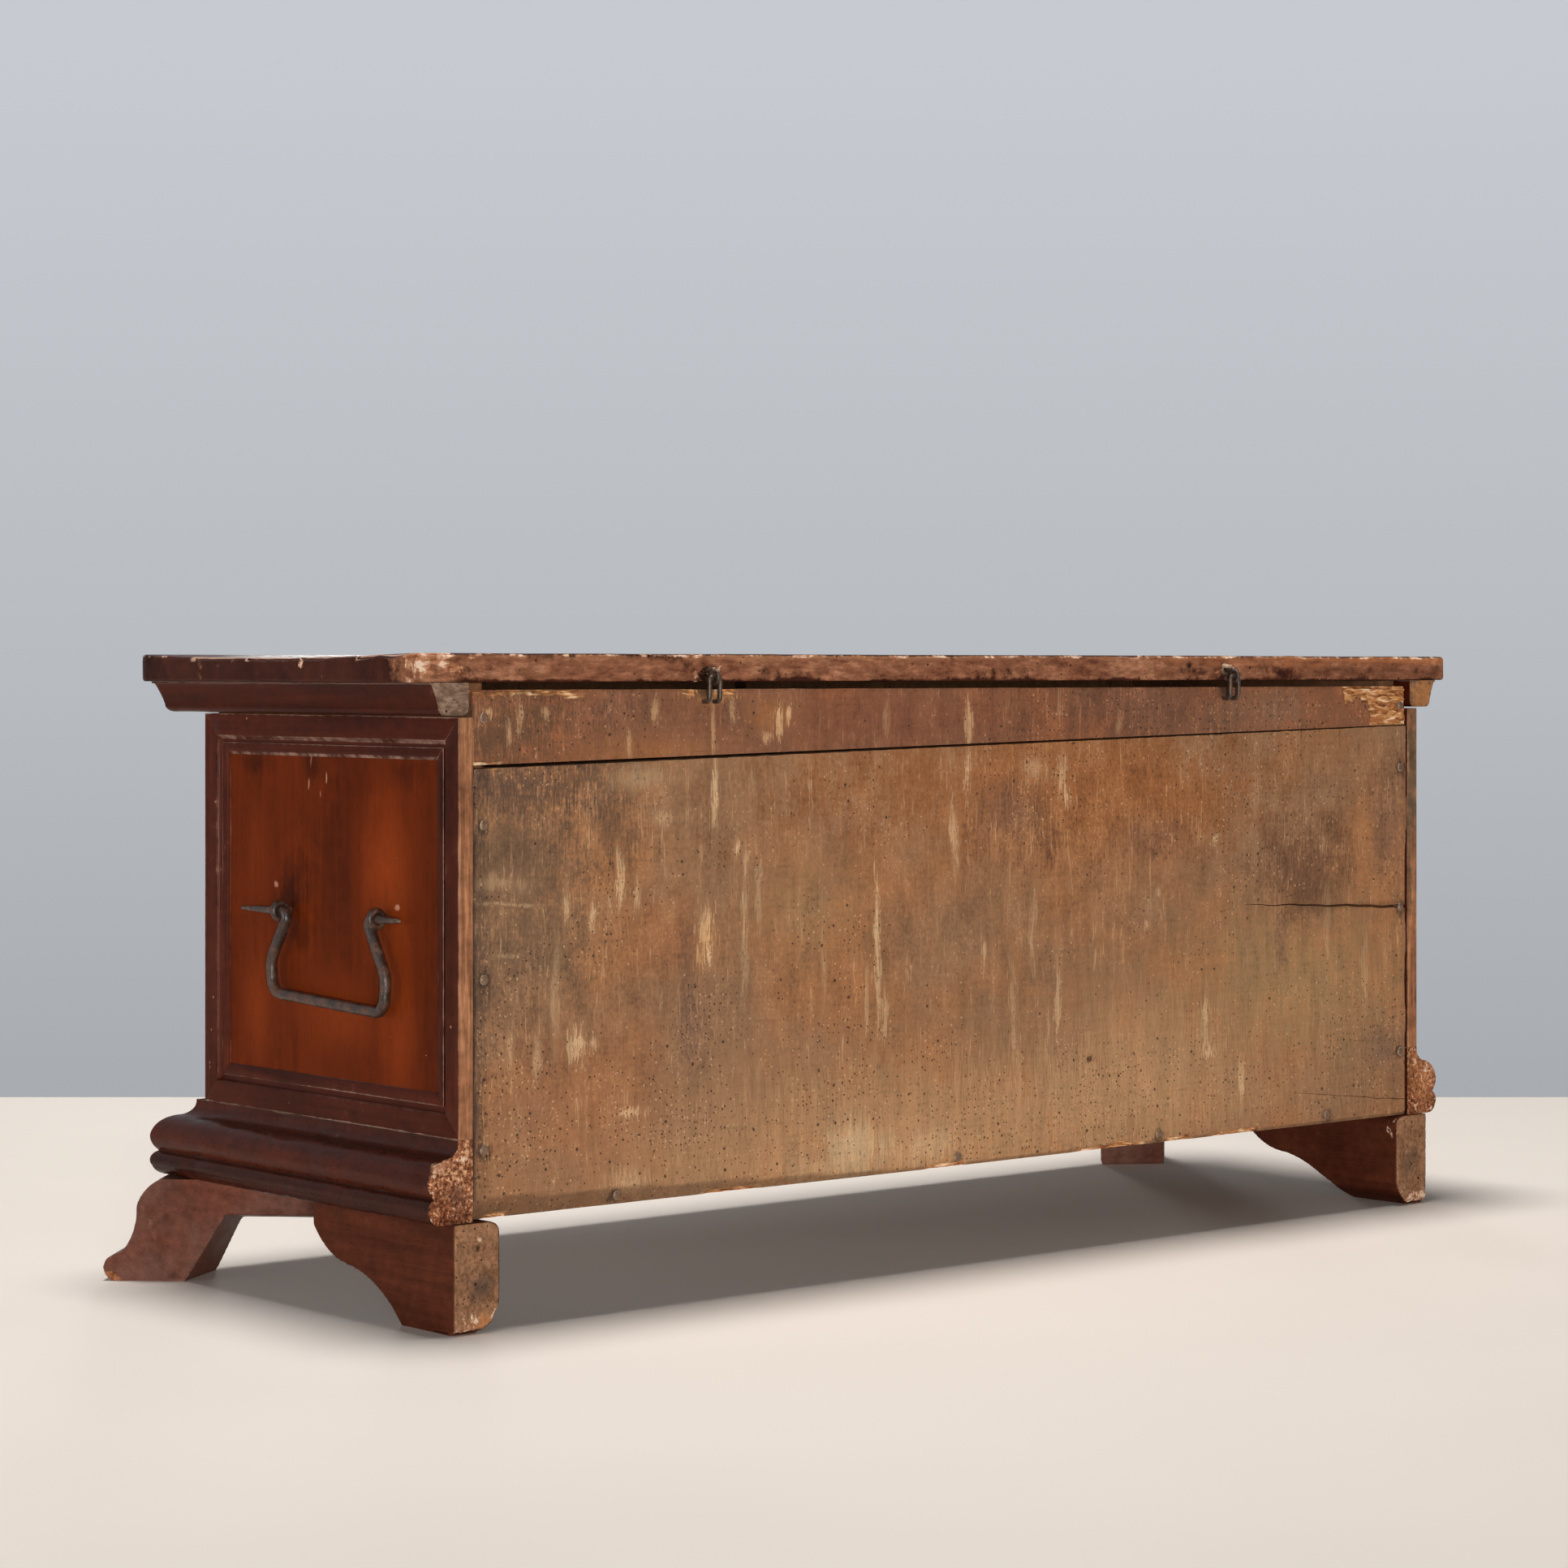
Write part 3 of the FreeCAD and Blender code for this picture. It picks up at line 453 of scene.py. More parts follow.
@dataclass(frozen=True)
class Varnish:
    """Old varnish over walnut: streaks, pores, rubbed arrises with painted highlights, bare places and
    painted shade.
    """

    name: str
    dark: Colour
    middle: Colour
    light: Colour
    # The colour of worn arrises; it also paints highlights on them.
    rubbed: Colour
    axis: Axis
    face: Axis = Axis.X
    gloss: float = 0.36
    sheen: float = 0.02
    wear: float = 0.6
    chips: float = 0.06
    dent: float = 0.0005
    contrast: float = 1.0
    raw: Raw = Raw()
    stains: tuple[Stain, ...] = ()

    def material(self) -> Material:
        """Builds the finish.

        Returns:
            The finished material.
        """
        g = Graph(self.name)
        broad = g.grain(self.axis, 1.3, 13.0, 4.0, 0.5)
        streaks = g.grain(self.axis, 5.0, 150.0, 4.0, 0.3)
        pores = g.grain(self.axis, 60.0, 1150.0, 2.0)
        clouds = g.cloud(8.0)
        grime = g.cloud(70.0, 4.0, 0.7)
        colour = g.mix(g.band(broad, 0.34, 0.66), self.dark, self.light)
        colour = g.mix(g.band(clouds, 0.40, 0.62, 0.1, 0.9), colour, self.middle)
        loose = g.ragged(0.005, 0.030)
        broken = g.sway(0.0, ((streaks, 0.8), (grime, 0.7)))
        for stain in self.stains:
            colour = stain.laid(g, loose, broken, colour)
        level = g.sway(1.0, ((streaks, self.contrast), (grime, 1.1 * self.contrast), (clouds, 0.8)))
        colour = g.lit(colour, level)
        colour = g.mix(g.band(pores, 0.42, 0.26, 0.0, 0.5), colour, paint(24, 10, 7))
        # Darker where the skin bends inwards; on the front feet this is painted shade in the gouge's
        # scoops.
        hollow = g.band(g.sway(g.attribute("hollow"), ((grime, 0.8),)), 0.25, 0.85, 0.0, 0.85)
        colour = g.mix(hollow, colour, paint(20, 10, 8))
        # The arrises take the rubbed colour: real wear, with painted highlight lines on the mouldings, a
        # painted floor reflection under the top rails and painted highlights on the front feet's ridges.
        edges = g.sway(g.attribute("arris"), ((grime, 1.4), (clouds, 1.4)))
        worn = g.band(edges, 0.30, 0.85, 0.0, self.wear)
        colour = g.mix(worn, colour, self.rubbed)
        chipped = g.dots(0.030, 0.0012, self.chips, self.face)
        colour = g.mix(g.times(chipped, 0.8), colour, self.raw.tones[-1])
        fibres = g.noise(g.scaled(self.raw.fibres), 5.0, 0.70)
        holes = g.maths("MAXIMUM", g.dots(0.0065, 0.00075, self.raw.worm, Axis.Y),
                        g.dots(0.014, 0.0014, self.raw.worm * 0.6, Axis.Y))
        bare = g.band(g.sway(g.attribute("bare"), ((grime, 0.7),)), 0.38, 0.60)
        open_grain = g.sway(0.5, ((fibres, 1.2 * self.raw.contrast), (clouds, 0.7)))
        wood = g.steps(open_grain, self.raw.tones, 0.30, 0.70)
        for stain in self.raw.stains:
            wood = stain.laid(g, loose, broken, wood)
        level = g.sway(1.0, ((grime, 1.6 * self.raw.contrast), (fibres, self.raw.contrast)))
        wood = g.lit(wood, level)
        # The worm holes are painted dark, as painted shade in them.
        wood = g.mix(g.times(holes, 0.85), wood, paint(34, 20, 13))
        colour = g.mix(bare, colour, wood)
        fresh = g.band(g.sway(g.attribute("fresh"), ((grime, 1.6), (fibres, 0.8))), 0.40, 0.62)
        torn = g.steps(g.sway(0.5, ((grime, 0.8), (fibres, 0.9))),
                       (paint(118, 68, 44), paint(172, 120, 88), paint(224, 196, 172)))
        colour = g.mix(fresh, colour, torn)
        # Painted shade, where the piece's shade value says.
        colour = g.mix(g.times(g.attribute("shade"), 0.85), colour, paint(20, 11, 8))
        open_wood = g.maths("MAXIMUM", bare, fresh)
        smooth = g.plus(g.band(grime, 0.35, 0.70, self.gloss, self.gloss + 0.14), g.times(worn, 0.12))
        rough = g.plus(smooth, g.times(open_wood, 0.40))
        relief = [(pores, 0.00004), (streaks, 0.00010), (clouds, self.dent), (grime, 0.00016),
                  (chipped, -0.0004), (g.times(holes, bare), -0.0016),
                  (g.times(fibres, open_wood), self.raw.depth),
                  (g.times(grime, open_wood), self.raw.depth * 1.2)]
        return g.finish(colour, rough, relief, Specular_IOR_Level=self.sheen)


@dataclass(frozen=True)
class Iron:
    """Hand-forged iron: dark scale, brown rust, hammer marks, and bright rubbed places with painted
    highlights.
    """

    name: str
    scale: Colour
    rust: Colour
    bright: Colour
    rubbed: float
    metal: float

    def material(self) -> Material:
        """Builds the finish.

        Returns:
            The finished material.
        """
        g = Graph(self.name)
        patches = g.cloud(60.0)
        grit = g.cloud(520.0, 3.0)
        hammer = g.cloud(170.0, 2.0, 0.5)
        colour = g.mix(g.band(patches, 0.42, 0.62), self.scale, self.rust)
        colour = g.lit(colour, g.sway(1.0, ((grit, 2.0), (hammer, 1.2))))
        # Bright tone on arrises and convex places: rubbed metal, with painted highlights.
        edges = g.sway(g.attribute("arris"), ((hammer, 1.0), (patches, 1.0)))
        colour = g.mix(g.band(edges, 0.35, 0.90, 0.0, self.rubbed), colour, self.bright)
        rough = g.band(patches, 0.3, 0.7, 0.34, 0.52)
        relief = [(grit, 0.00010), (hammer, 0.00030)]
        return g.finish(colour, rough, relief, Metallic=self.metal, Specular_IOR_Level=0.4)


def choose(thing: Thing) -> None:
    """Selects one object alone, in object mode, and makes it the active one.

    Args:
        thing: The object to work on.
    """
    if bpy.context.mode != "OBJECT":
        bpy.ops.object.mode_set(mode="OBJECT")
    bpy.ops.object.select_all(action="DESELECT")
    thing.select_set(True)
    bpy.context.view_layer.objects.active = thing


class Piece:
    """One piece of the chest on the bench, worked with the modelling operators."""

    def __init__(self, thing: Thing, node: str) -> None:
        """Takes an object that will stand for a node of the frame.

        Args:
            thing: The object.
            node: The node that it will stand for.
        """
        self.thing = thing
        self.node = node
        choose(thing)

    @classmethod
    def copy_of(cls, node: str) -> "Piece":
        """A copy of a node's shape, with its points merged and its flat faces whole.

        Args:
            node: The node.

        Returns:
            The copy, ready to be worked.
        """
        thing = bpy.data.objects.new(node + "_aged", NODES[node].data.copy())
        bpy.context.scene.collection.objects.link(thing)
        piece = cls(thing, node)
        if thing.data.has_custom_normals:
            bpy.ops.mesh.customdata_custom_splitnormals_clear()
        thing.data.materials.clear()
        bpy.ops.object.mode_set(mode="EDIT")
        bpy.ops.mesh.select_mode(type="VERT")
        bpy.ops.mesh.select_all(action="SELECT")
        bpy.ops.mesh.remove_doubles(threshold=0.01 * MM)
        bpy.ops.mesh.dissolve_limited(angle_limit=math.radians(0.3))
        bpy.ops.object.mode_set(mode="OBJECT")
        return piece

    def reach(self, axis: Axis) -> tuple[float, float]:
        """The lowest and highest place of the piece along an axis."""
        places = [vertex.co[axis.value] for vertex in self.thing.data.vertices]
        return min(places), max(places)

    def modifier(self, kind: str, **settings: object) -> "Piece":
        """Adds a modifier, sets it and applies it.

        Args:
            kind: The modifier's kind.
            settings: Its settings, by name.

        Returns:
            The piece.
        """
        choose(self.thing)
        bpy.ops.object.modifier_add(type=kind)
        modifier = self.thing.modifiers[-1]
        for name, value in settings.items():
            setattr(modifier, name, value)
        bpy.ops.object.modifier_apply(modifier=modifier.name)
        return self

    def soften(self, width: float, segments: int = 2, angle: float = DULL_ANGLE) -> "Piece":
        """Rounds the arrises that are sharper than an angle in degrees."""
        return self.modifier("BEVEL", width=width, segments=segments, limit_method="ANGLE",
                             angle_limit=math.radians(angle), use_clamp_overlap=True)

    def even_skin(self, size: float, smoothing: int = 2) -> "Piece":
        """Gives the piece an even skin of small faces, as a base for carving."""
        self.modifier("REMESH", mode="VOXEL", voxel_size=size)
        return self.modifier("SMOOTH", factor=0.5, iterations=smoothing)

    def cut(self, axis: Axis, places: Sequence[float]) -> "Piece":
        """Cuts the faces across an axis at given places, so that they can be bent and dented.

        Args:
            axis: The axis that the cuts lie across.
            places: Where they lie along it.

        Returns:
            The piece.
        """
        choose(self.thing)
        bpy.ops.object.mode_set(mode="EDIT")
        for place in places:
            bpy.ops.mesh.select_all(action="SELECT")
            bpy.ops.mesh.bisect(plane_co=axis.unit(place), plane_no=axis.unit())
        bpy.ops.object.mode_set(mode="OBJECT")
        return self

    def support(self, axis: Axis, reach: float, angle: float = DULL_ANGLE) -> "Piece":
        """Cuts the faces beside each arris along an axis, so that its wear stays narrow.

        Args:
            axis: The way that the arrises run.
            reach: How far from an arris a cut lies.
            angle: The least bend, in degrees, that counts as an arris.

        Returns:
            The piece.
        """
        net = bmesh.new()
        net.from_mesh(self.thing.data)
        arrises = []
        for edge in net.edges:
            way = (edge.verts[0].co - edge.verts[1].co).normalized()
            if abs(way[axis.value]) > 0.99 and math.degrees(edge.calc_face_angle(0.0)) > angle:
                arrises.append(edge.verts[0].co.copy())
        net.free()
        for other in Axis:
            if other is axis:
                continue
            low, high = self.reach(other)
            lines = sorted({round(place[other.value] / MM, 1) * MM for place in arrises})
            cuts: list[float] = []
            for place in [line + way * reach for line in lines for way in (-1, 1)]:
                clear = all(abs(place - taken) > 0.4 * reach for taken in (*lines, *cuts))
                if clear and low < place < high:
                    cuts.append(place)
            self.cut(other, cuts)
        return self

    def slice(self, axis: Axis, step: float) -> "Piece":
        """Cuts the faces across an axis at even steps.

        Args:
            axis: The axis that the cuts lie across.
            step: About how far apart they lie.

        Returns:
            The piece.
        """
        low, high = self.reach(axis)
        count = max(1, round((high - low) / step))
        return self.cut(axis, [low + (high - low) * number / count for number in range(1, count)])

    def net_cap(self, face: Axis, across: tuple[Axis, Axis], step: float) -> None:
        """Cuts a net into the flat cap that looks along an axis, so that it can be pitted.

        Args:
            face: The way that the cap looks.
            across: The two axes of its net.
            step: About the size of the net's faces.
        """
        edge = self.reach(face)[1] - 0.05 * MM
        for axis in across:
            low, high = self.reach(axis)
            count = max(1, round((high - low) / step))
            for number in range(1, count):
                choose(self.thing)
                mesh = self.thing.data
                for item in (*mesh.vertices, *mesh.edges):
                    item.select = False
                for polygon in mesh.polygons:
                    on_cap = polygon.normal[face.value] > 0.99 and polygon.center[face.value] > edge
                    polygon.select = on_cap
                bpy.ops.object.mode_set(mode="EDIT")
                bpy.ops.mesh.select_mode(type="FACE")
                place = low + (high - low) * number / count
                bpy.ops.mesh.bisect(plane_co=axis.unit(place), plane_no=axis.unit())
                bpy.ops.object.mode_set(mode="OBJECT")

    def shape(self, rule: Rule, along: Vector | None = None) -> "Piece":
        """Moves each point by a rule of its place and normal, along its normal or a fixed way.

        Args:
            rule: The distance for each point, from its place and normal.
            along: The way that the points move, or None for their normals.

        Returns:
            The piece.
        """
        mesh = self.thing.data
        normals = [vertex.normal.copy() for vertex in mesh.vertices]
        for vertex, normal in zip(mesh.vertices, normals):
            vertex.co += (along or normal) * rule(vertex.co, normal)
        mesh.update()
        return self

    def mark(self, name: str, rule: Rule) -> "Piece":
        """Stores a value on each point, from a rule of its place and normal.

        Args:
            name: The value's name.
            rule: The value for each point.

        Returns:
            The piece.
        """
        mesh = self.thing.data
        layer = mesh.attributes.new(name, "FLOAT", "POINT")
        layer.data.foreach_set("value", [rule(v.co, v.normal) for v in mesh.vertices])
        return self

    def raise_mark(self, name: str, rule: Rule) -> None:
        """Raises a stored value on each point to at least what a rule gives.

        Args:
            name: The value's name.
            rule: The least value for each point.
        """
        values = self.thing.data.attributes[name].data
        for vertex, item in zip(self.thing.data.vertices, values):
            item.value = max(item.value, rule(vertex.co, vertex.normal))

    def mark_edges(self, dull: float = 30.0, sharp: float = 80.0, along: Axis | None = None) -> "Piece":
        """Stores where the skin bends outwards and inwards, as the values arris and hollow.

        Args:
            dull: The bend in degrees below which nothing is stored.
            sharp: The bend at which the value is 1.
            along: The only way in which edges count, or None for all.

        Returns:
            The piece.
        """
        mesh = self.thing.data
        net = bmesh.new()
        net.from_mesh(mesh)

        def bend(edge: bmesh.types.BMEdge) -> float:
            """How far the skin bends at an edge, in degrees.

            Args:
                edge: The edge.

            Returns:
                The bend, above zero where it bends outwards.
            """
            way = (edge.verts[0].co - edge.verts[1].co).normalized()
            if along and abs(way[along.value]) < 0.95:
                return 0.0
            return math.degrees(edge.calc_face_angle_signed(0.0))

        bends = [sum(bend(edge) for edge in vertex.link_edges) for vertex in net.verts]
        net.free()
        for name, sign in (("arris", 1.0), ("hollow", -1.0)):
            layer = mesh.attributes.new(name, "FLOAT", "POINT")
            layer.data.foreach_set("value", [rise(sign * bend, dull, sharp) for bend in bends])
        return self

    def carve(self, cutter: Thing) -> None:
        """Cuts another object out of the piece and throws that object away."""
        self.modifier("BOOLEAN", operation="DIFFERENCE", object=cutter, solver="EXACT")
        bpy.data.objects.remove(cutter)

    def seat(self, finish: Material, angle: float = DULL_ANGLE) -> Thing:
        """Dresses the piece and hands it to the frame in place of its node.

        Args:
            finish: The material of the whole piece.
            angle: The sharpest bend, in degrees, that is shaded smooth.

        Returns:
            The finished object.
        """
        choose(self.thing)
        self.thing.data.materials.clear()
        self.thing.data.materials.append(finish)
        bpy.ops.object.shade_smooth_by_angle(angle=math.radians(angle))
        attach(self.thing, NODES[self.node]["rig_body"])
        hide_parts(self.node)
        faces = len(self.thing.data.polygons)
        log.info("%s seated with %d faces", self.thing.name, faces)
        return self.thing


class Finishes:
    """Every finish of the chest, each made once."""

    def __init__(self) -> None:
        """Mixes the colours."""
        self.back_lower = BareWood(
            "back_wood_lower", paint(134, 99, 71), paint(148, 101, 65), paint(80, 52, 36),
            paint(204, 168, 126), worm=0.50, stains=self.lower_stains() + self.nail_shadows()).material()
        self.back_upper = BareWood(
            "back_wood_upper", paint(120, 80, 57), paint(129, 79, 50), paint(70, 42, 29),
            paint(188, 144, 106), worm=0.34, stains=self.upper_stains()).material()
        self.inside = BareWood(
            "inside_wood", paint(120, 84, 58), paint(136, 94, 62), paint(84, 54, 36),
            paint(170, 130, 92), worm=0.10, scraped=0.5).material()
        self.inside_upright = BareWood(
            "end_wood", paint(112, 76, 52), paint(126, 84, 54), paint(76, 48, 32), paint(160, 118, 84),
            axis=Axis.Z, scrape=Axis.Y, face=Axis.X, worm=0.10, scraped=0.5).material()
        self.floor = BareWood(
            "floor_wood", paint(122, 90, 64), paint(140, 102, 70), paint(84, 56, 38), paint(170, 134, 98),
            scrape=Axis.Y, face=Axis.Z, worm=0.15, scraped=0.5).material()
        self.frames = {axis: self.frame_varnish(axis) for axis in Axis}
        self.field = self.field_varnish(Axis.X, self.field_stains())
        self.front_field = self.field_varnish(Axis.Y, ())
        self.base = {axis: self.base_varnish(axis) for axis in (Axis.X, Axis.Y)}
        self.lid = self.lid_varnish()
        self.cleats = {axis: self.cleat_varnish(axis) for axis in (Axis.X, Axis.Y)}
        self.rear_foot = Varnish(
            "rear_foot_varnish", paint(48, 22, 15), paint(64, 31, 21), paint(90, 46, 30),
            paint(112, 76, 60), Axis.Y, gloss=0.34, wear=0.45, chips=0.0,
            raw=Raw((paint(112, 80, 58), paint(142, 104, 77), paint(172, 134, 104)), (300, 300, 240),
                    worm=0.45, depth=0.0005, contrast=0.6, stains=self.rear_foot_stains())).material()
        self.front_foot = Varnish(
            "front_foot_varnish", paint(84, 53, 44), paint(102, 70, 60), paint(104, 60, 46),
            paint(150, 112, 98), Axis.Y, gloss=0.34, wear=0.45, chips=0.02, contrast=0.9,
            raw=Raw((paint(104, 62, 42), paint(140, 88, 58), paint(164, 112, 78)), worm=0.2)).material()
        self.iron = Iron("forged_iron", paint(46, 32, 26), paint(78, 52, 38), paint(150, 124, 100),
                         rubbed=0.4, metal=0.0).material()
        # The hinge wire's and the nails' bright tones are mostly painted highlights.
        self.wire = Iron("hinge_wire", paint(62, 50, 44), paint(88, 68, 54), paint(206, 196, 184),
                         rubbed=0.8, metal=0.4).material()
        self.nails = Iron("nail_iron", paint(112, 86, 66), paint(92, 64, 48), paint(206, 182, 152),
                          rubbed=0.8, metal=0.0).material()

    @staticmethod
    def rear_foot_stains() -> tuple[Stain, ...]:
        """The marks on the near foot's raw back, placed across X and Z.

        Returns:
            The patches.
        """
        grey, orange, hole = paint(88, 70, 60), paint(190, 128, 82), paint(40, 24, 16)
        return (Stain(626, 40, 22, 18, grey, 0.75, rag=1.5), Stain(618, 8, 26, 15, orange, 0.8, rag=1.5),
                # The small dark hole stain on the next line is painted shade in a hole.
                Stain(-626, 46, 20, 22, grey, 0.5, rag=1.5), Stain(629, 74, 3.4, 4.6, hole, 0.9, rag=1.0),
                Stain(628, 82, 4, 3, paint(226, 196, 168), 0.8, rag=1.0))

    @staticmethod
    def nail_shadows() -> tuple[Stain, ...]:
        """The dark rings round the nails in the back: rust, with painted shadow.

        Returns:
            The patches.
        """
        rust = paint(66, 46, 34)
        places = [(618, height) for height in (449, 312, 161)]
        places += [(-618, height) for height in (480, 327, 169)]
        places += [(across, 107) for across in (469, 45, -239, -498)]
        return tuple(Stain(across, height - 2, 10, 11, rust, 0.75, core=0.3, rag=1.6)
                     for across, height in places)

    @staticmethod
    def lower_stains() -> tuple[Stain, ...]:
        """The broad tones and the marks of the lower back board, placed one by one.

        Returns:
            The patches.
        """
        grey, orange, straw = paint(108, 83, 62), paint(146, 91, 50), paint(176, 136, 97)
        green, dark, pale = paint(152, 122, 84), paint(98, 64, 43), paint(214, 178, 136)
        plum, red = paint(108, 80, 66), paint(146, 94, 62)
        broad = (
            Stain(600, 420, 150, 230, grey, 0.75), Stain(-40, 480, 430, 95, orange, 0.8),
            Stain(-260, 455, 200, 80, orange, 0.6), Stain(120, 130, 560, 110, straw, 0.75),
            Stain(-440, 245, 250, 120, green, 0.7), Stain(-210, 200, 160, 90, straw, 0.5),
            Stain(506, 190, 150, 95, red, 0.5), Stain(403, 344, 70, 60, red, 0.5),
            Stain(570, 489, 110, 40, plum, 0.6), Stain(488, 469, 60, 30, plum, 0.4),
            Stain(379, 250, 26, 52, plum, 0.7), Stain(385, 300, 14, 60, plum, 0.35),
            Stain(-466, 372, 90, 82, dark, 0.75, rag=1.6), Stain(-600, 410, 44, 80, plum, 0.5, rag=1.6),
            Stain(-30, 440, 70, 52, plum, 0.5), Stain(-226, 414, 75, 30, plum, 0.4),
            Stain(-426, 302, 14, 52, plum, 0.5), Stain(-402, 165, 90, 34, red, 0.5),
            Stain(-600, 175, 60, 40, plum, 0.4),
            # The first stain on the next line is a painted shadow beside the near stile.
            Stain(624, 300, 12, 220, paint(88, 66, 52), 0.7), Stain(240, 360, 90, 60, green, 0.35),
            # The first stain on the next line is painted shade along the far split.
            Stain(-560, 330, 130, 5, dark, 0.35), Stain(530, 492, 130, 40, paint(86, 63, 46), 0.6),
            Stain(480, 450, 80, 50, paint(98, 74, 54), 0.4), Stain(-230, 150, 340, 90, straw, 0.6),
            Stain(178, 130, 56, 30, paint(206, 176, 136), 0.6),
            Stain(-60, 430, 60, 46, paint(104, 70, 48), 0.5),
            Stain(362, 332, 11, 26, paint(206, 156, 104), 0.9, rag=4.5),
            Stain(-155, 425, 5, 10, orange, 0.8, rag=4.5),
            Stain(-139, 192, 7, 6, paint(72, 36, 26), 0.95, rag=4.5))
        streaks = (
            (360, 322, 5, 18, 0.7), (366, 352, 9, 22, 0.45), (355, 467, 5, 30, 0.75),
            (352, 488, 4, 22, 0.4), (327, 421, 5, 10, 0.8), (318, 400, 4, 36, 0.35),
            (318, 340, 5, 60, 0.4), (300, 380, 5, 40, 0.35), (150, 340, 4, 56, 0.75),
            (148, 280, 3, 40, 0.6), (164, 272, 3, 46, 0.4), (140, 250, 4, 30, 0.5),
            (515, 250, 13, 16, 0.8), (497, 248, 6, 7, 0.5), (466, 388, 6, 22, 0.7),
            (470, 408, 3, 22, 0.5), (497, 361, 5, 18, 0.65), (478, 372, 4, 16, 0.6),
            (528, 374, 5, 24, 0.6), (445, 380, 4, 16, 0.5), (441, 487, 44, 14, 0.35),
            (415, 449, 14, 9, 0.4), (456, 181, 24, 5, 0.6), (600, 395, 34, 9, 0.3),
            (590, 376, 44, 2, 0.35), (592, 330, 20, 2, 0.3), (590, 250, 5, 26, 0.4),
            (560, 240, 5, 20, 0.4), (540, 290, 5, 50, 0.3), (88, 122, 60, 20, 0.4),
            (214, 112, 80, 14, 0.25), (456, 120, 30, 12, 0.3), (48, 424, 6, 42, 0.55),
            (31, 490, 6, 24, 0.65), (-107, 461, 7, 10, 0.8), (-100, 480, 10, 26, 0.5),
            (-61, 485, 22, 16, 0.4), (-322, 409, 7, 6, 0.6), (-237, 356, 5, 8, 0.55),
            (-221, 325, 6, 8, 0.5), (10, 308, 5, 26, 0.6), (-60, 331, 5, 46, 0.4),
            (-94, 256, 5, 46, 0.5), (-80, 230, 4, 30, 0.35), (-307, 222, 5, 28, 0.55),
            (-312, 189, 10, 10, 0.6), (-363, 155, 5, 24, 0.55), (-30, 240, 5, 60, 0.35),
            (220, 300, 4, 60, 0.3), (-500, 300, 6, 60, 0.25), (-560, 250, 8, 50, 0.3))
        return broad + tuple(Stain(*streak[:4], pale, streak[4], rag=4.5) for streak in streaks)

    @staticmethod
    def upper_stains() -> tuple[Stain, ...]:
        """The tones and marks of the upper back board, placed one by one.

        Returns:
            The patches.
        """
        pale, tan, plum = paint(206, 164, 120), paint(148, 97, 56), paint(98, 68, 54)
        broad = (
            Stain(590, 530, 130, 60, paint(86, 64, 47), 0.75), Stain(430, 512, 150, 22, tan, 0.55),
            Stain(285, 545, 44, 26, tan, 0.75), Stain(120, 540, 180, 50, paint(124, 72, 50), 0.5),
            Stain(-200, 545, 150, 40, plum, 0.5), Stain(-420, 545, 120, 34, paint(122, 92, 72), 0.6),
            Stain(330, 545, 16, 26, plum, 0.6), Stain(470, 555, 40, 20, plum, 0.5),
            Stain(358, 566, 34, 8, paint(196, 144, 88), 0.75, rag=4.0))
        streaks = (
            (275, 540, 6, 22, 0.9), (262, 548, 5, 16, 0.8), (290, 524, 8, 8, 0.6),
            (330, 548, 5, 14, 0.5), (423, 549, 6, 16, 0.6), (455, 518, 4, 20, 0.5),
            (579, 545, 5, 22, 0.5), (590, 528, 4, 16, 0.5), (613, 548, 8, 7, 0.8), (553, 548, 5, 8, 0.5),
            (355, 530, 3, 34, 0.5), (31, 535, 6, 34, 0.75), (-95, 540, 4, 26, 0.35),
            (-180, 535, 5, 16, 0.3), (-350, 512, 14, 5, 0.6), (140, 540, 5, 22, 0.3))
        return broad + tuple(Stain(*streak[:4], pale, streak[4], rag=4.0) for streak in streaks)

    @staticmethod
    def field_stains() -> tuple[Stain, ...]:
        """The tones and marks of the end's field, placed across Y and Z.

        Returns:
            The patches.
        """
        dark, orange, pale = paint(34, 15, 10), paint(134, 56, 20), paint(196, 140, 112)
        marks = ((126, 356, 34, 30, dark, 0.8), (-26, 376, 34, 22, dark, 0.7),
                 (-14, 398, 40, 24, dark, 0.4), (-8, 340, 30, 30, dark, 0.4),
                 (40, 400, 60, 110, dark, 0.3), (10, 500, 30, 26, dark, 0.5),
                 (130, 400, 60, 120, orange, 0.8), (-84, 400, 26, 90, orange, 0.35),
                 (-84, 270, 34, 90, orange, 0.55), (60, 270, 110, 50, orange, 0.5),
                 (150, 270, 40, 110, orange, 0.6), (160, 496, 50, 26, dark, 0.35),
                 (-90, 500, 40, 18, dark, 0.5))
        flecks = ((148, 372, 5, 4, pale, 0.75), (-51, 383, 5, 4, pale, 0.75), (5, 479, 1.6, 7, pale, 0.6),
                  (35, 487, 1.6, 7, pale, 0.6), (23, 471, 1.4, 6, pale, 0.5), (8, 505, 1.4, 10, pale, 0.35))
        return (*(Stain(*mark, face=Axis.X, rag=1.2) for mark in marks),
                *(Stain(*fleck, face=Axis.X, core=0.4, rag=1.5) for fleck in flecks))

    @staticmethod
    def frame_varnish(axis: Axis) -> Material:
        """The dark varnish of the mitred frames.

        Args:
            axis: The way that the member runs.

        Returns:
            The finish.
        """
        return Varnish(
            f"frame_varnish_{axis.name.lower()}", paint(50, 19, 11), paint(66, 27, 16), paint(84, 36, 21),
            paint(158, 128, 112), axis, gloss=0.30, sheen=0.05, wear=0.75,
            raw=Raw((paint(122, 80, 56), paint(142, 96, 68), paint(168, 118, 84)), axis.scale(12.0, 220.0),
                    worm=0.0, depth=0.0004,
                    stains=(Stain(-637, 470, 16, 150, paint(96, 84, 66), 0.85),))).material()

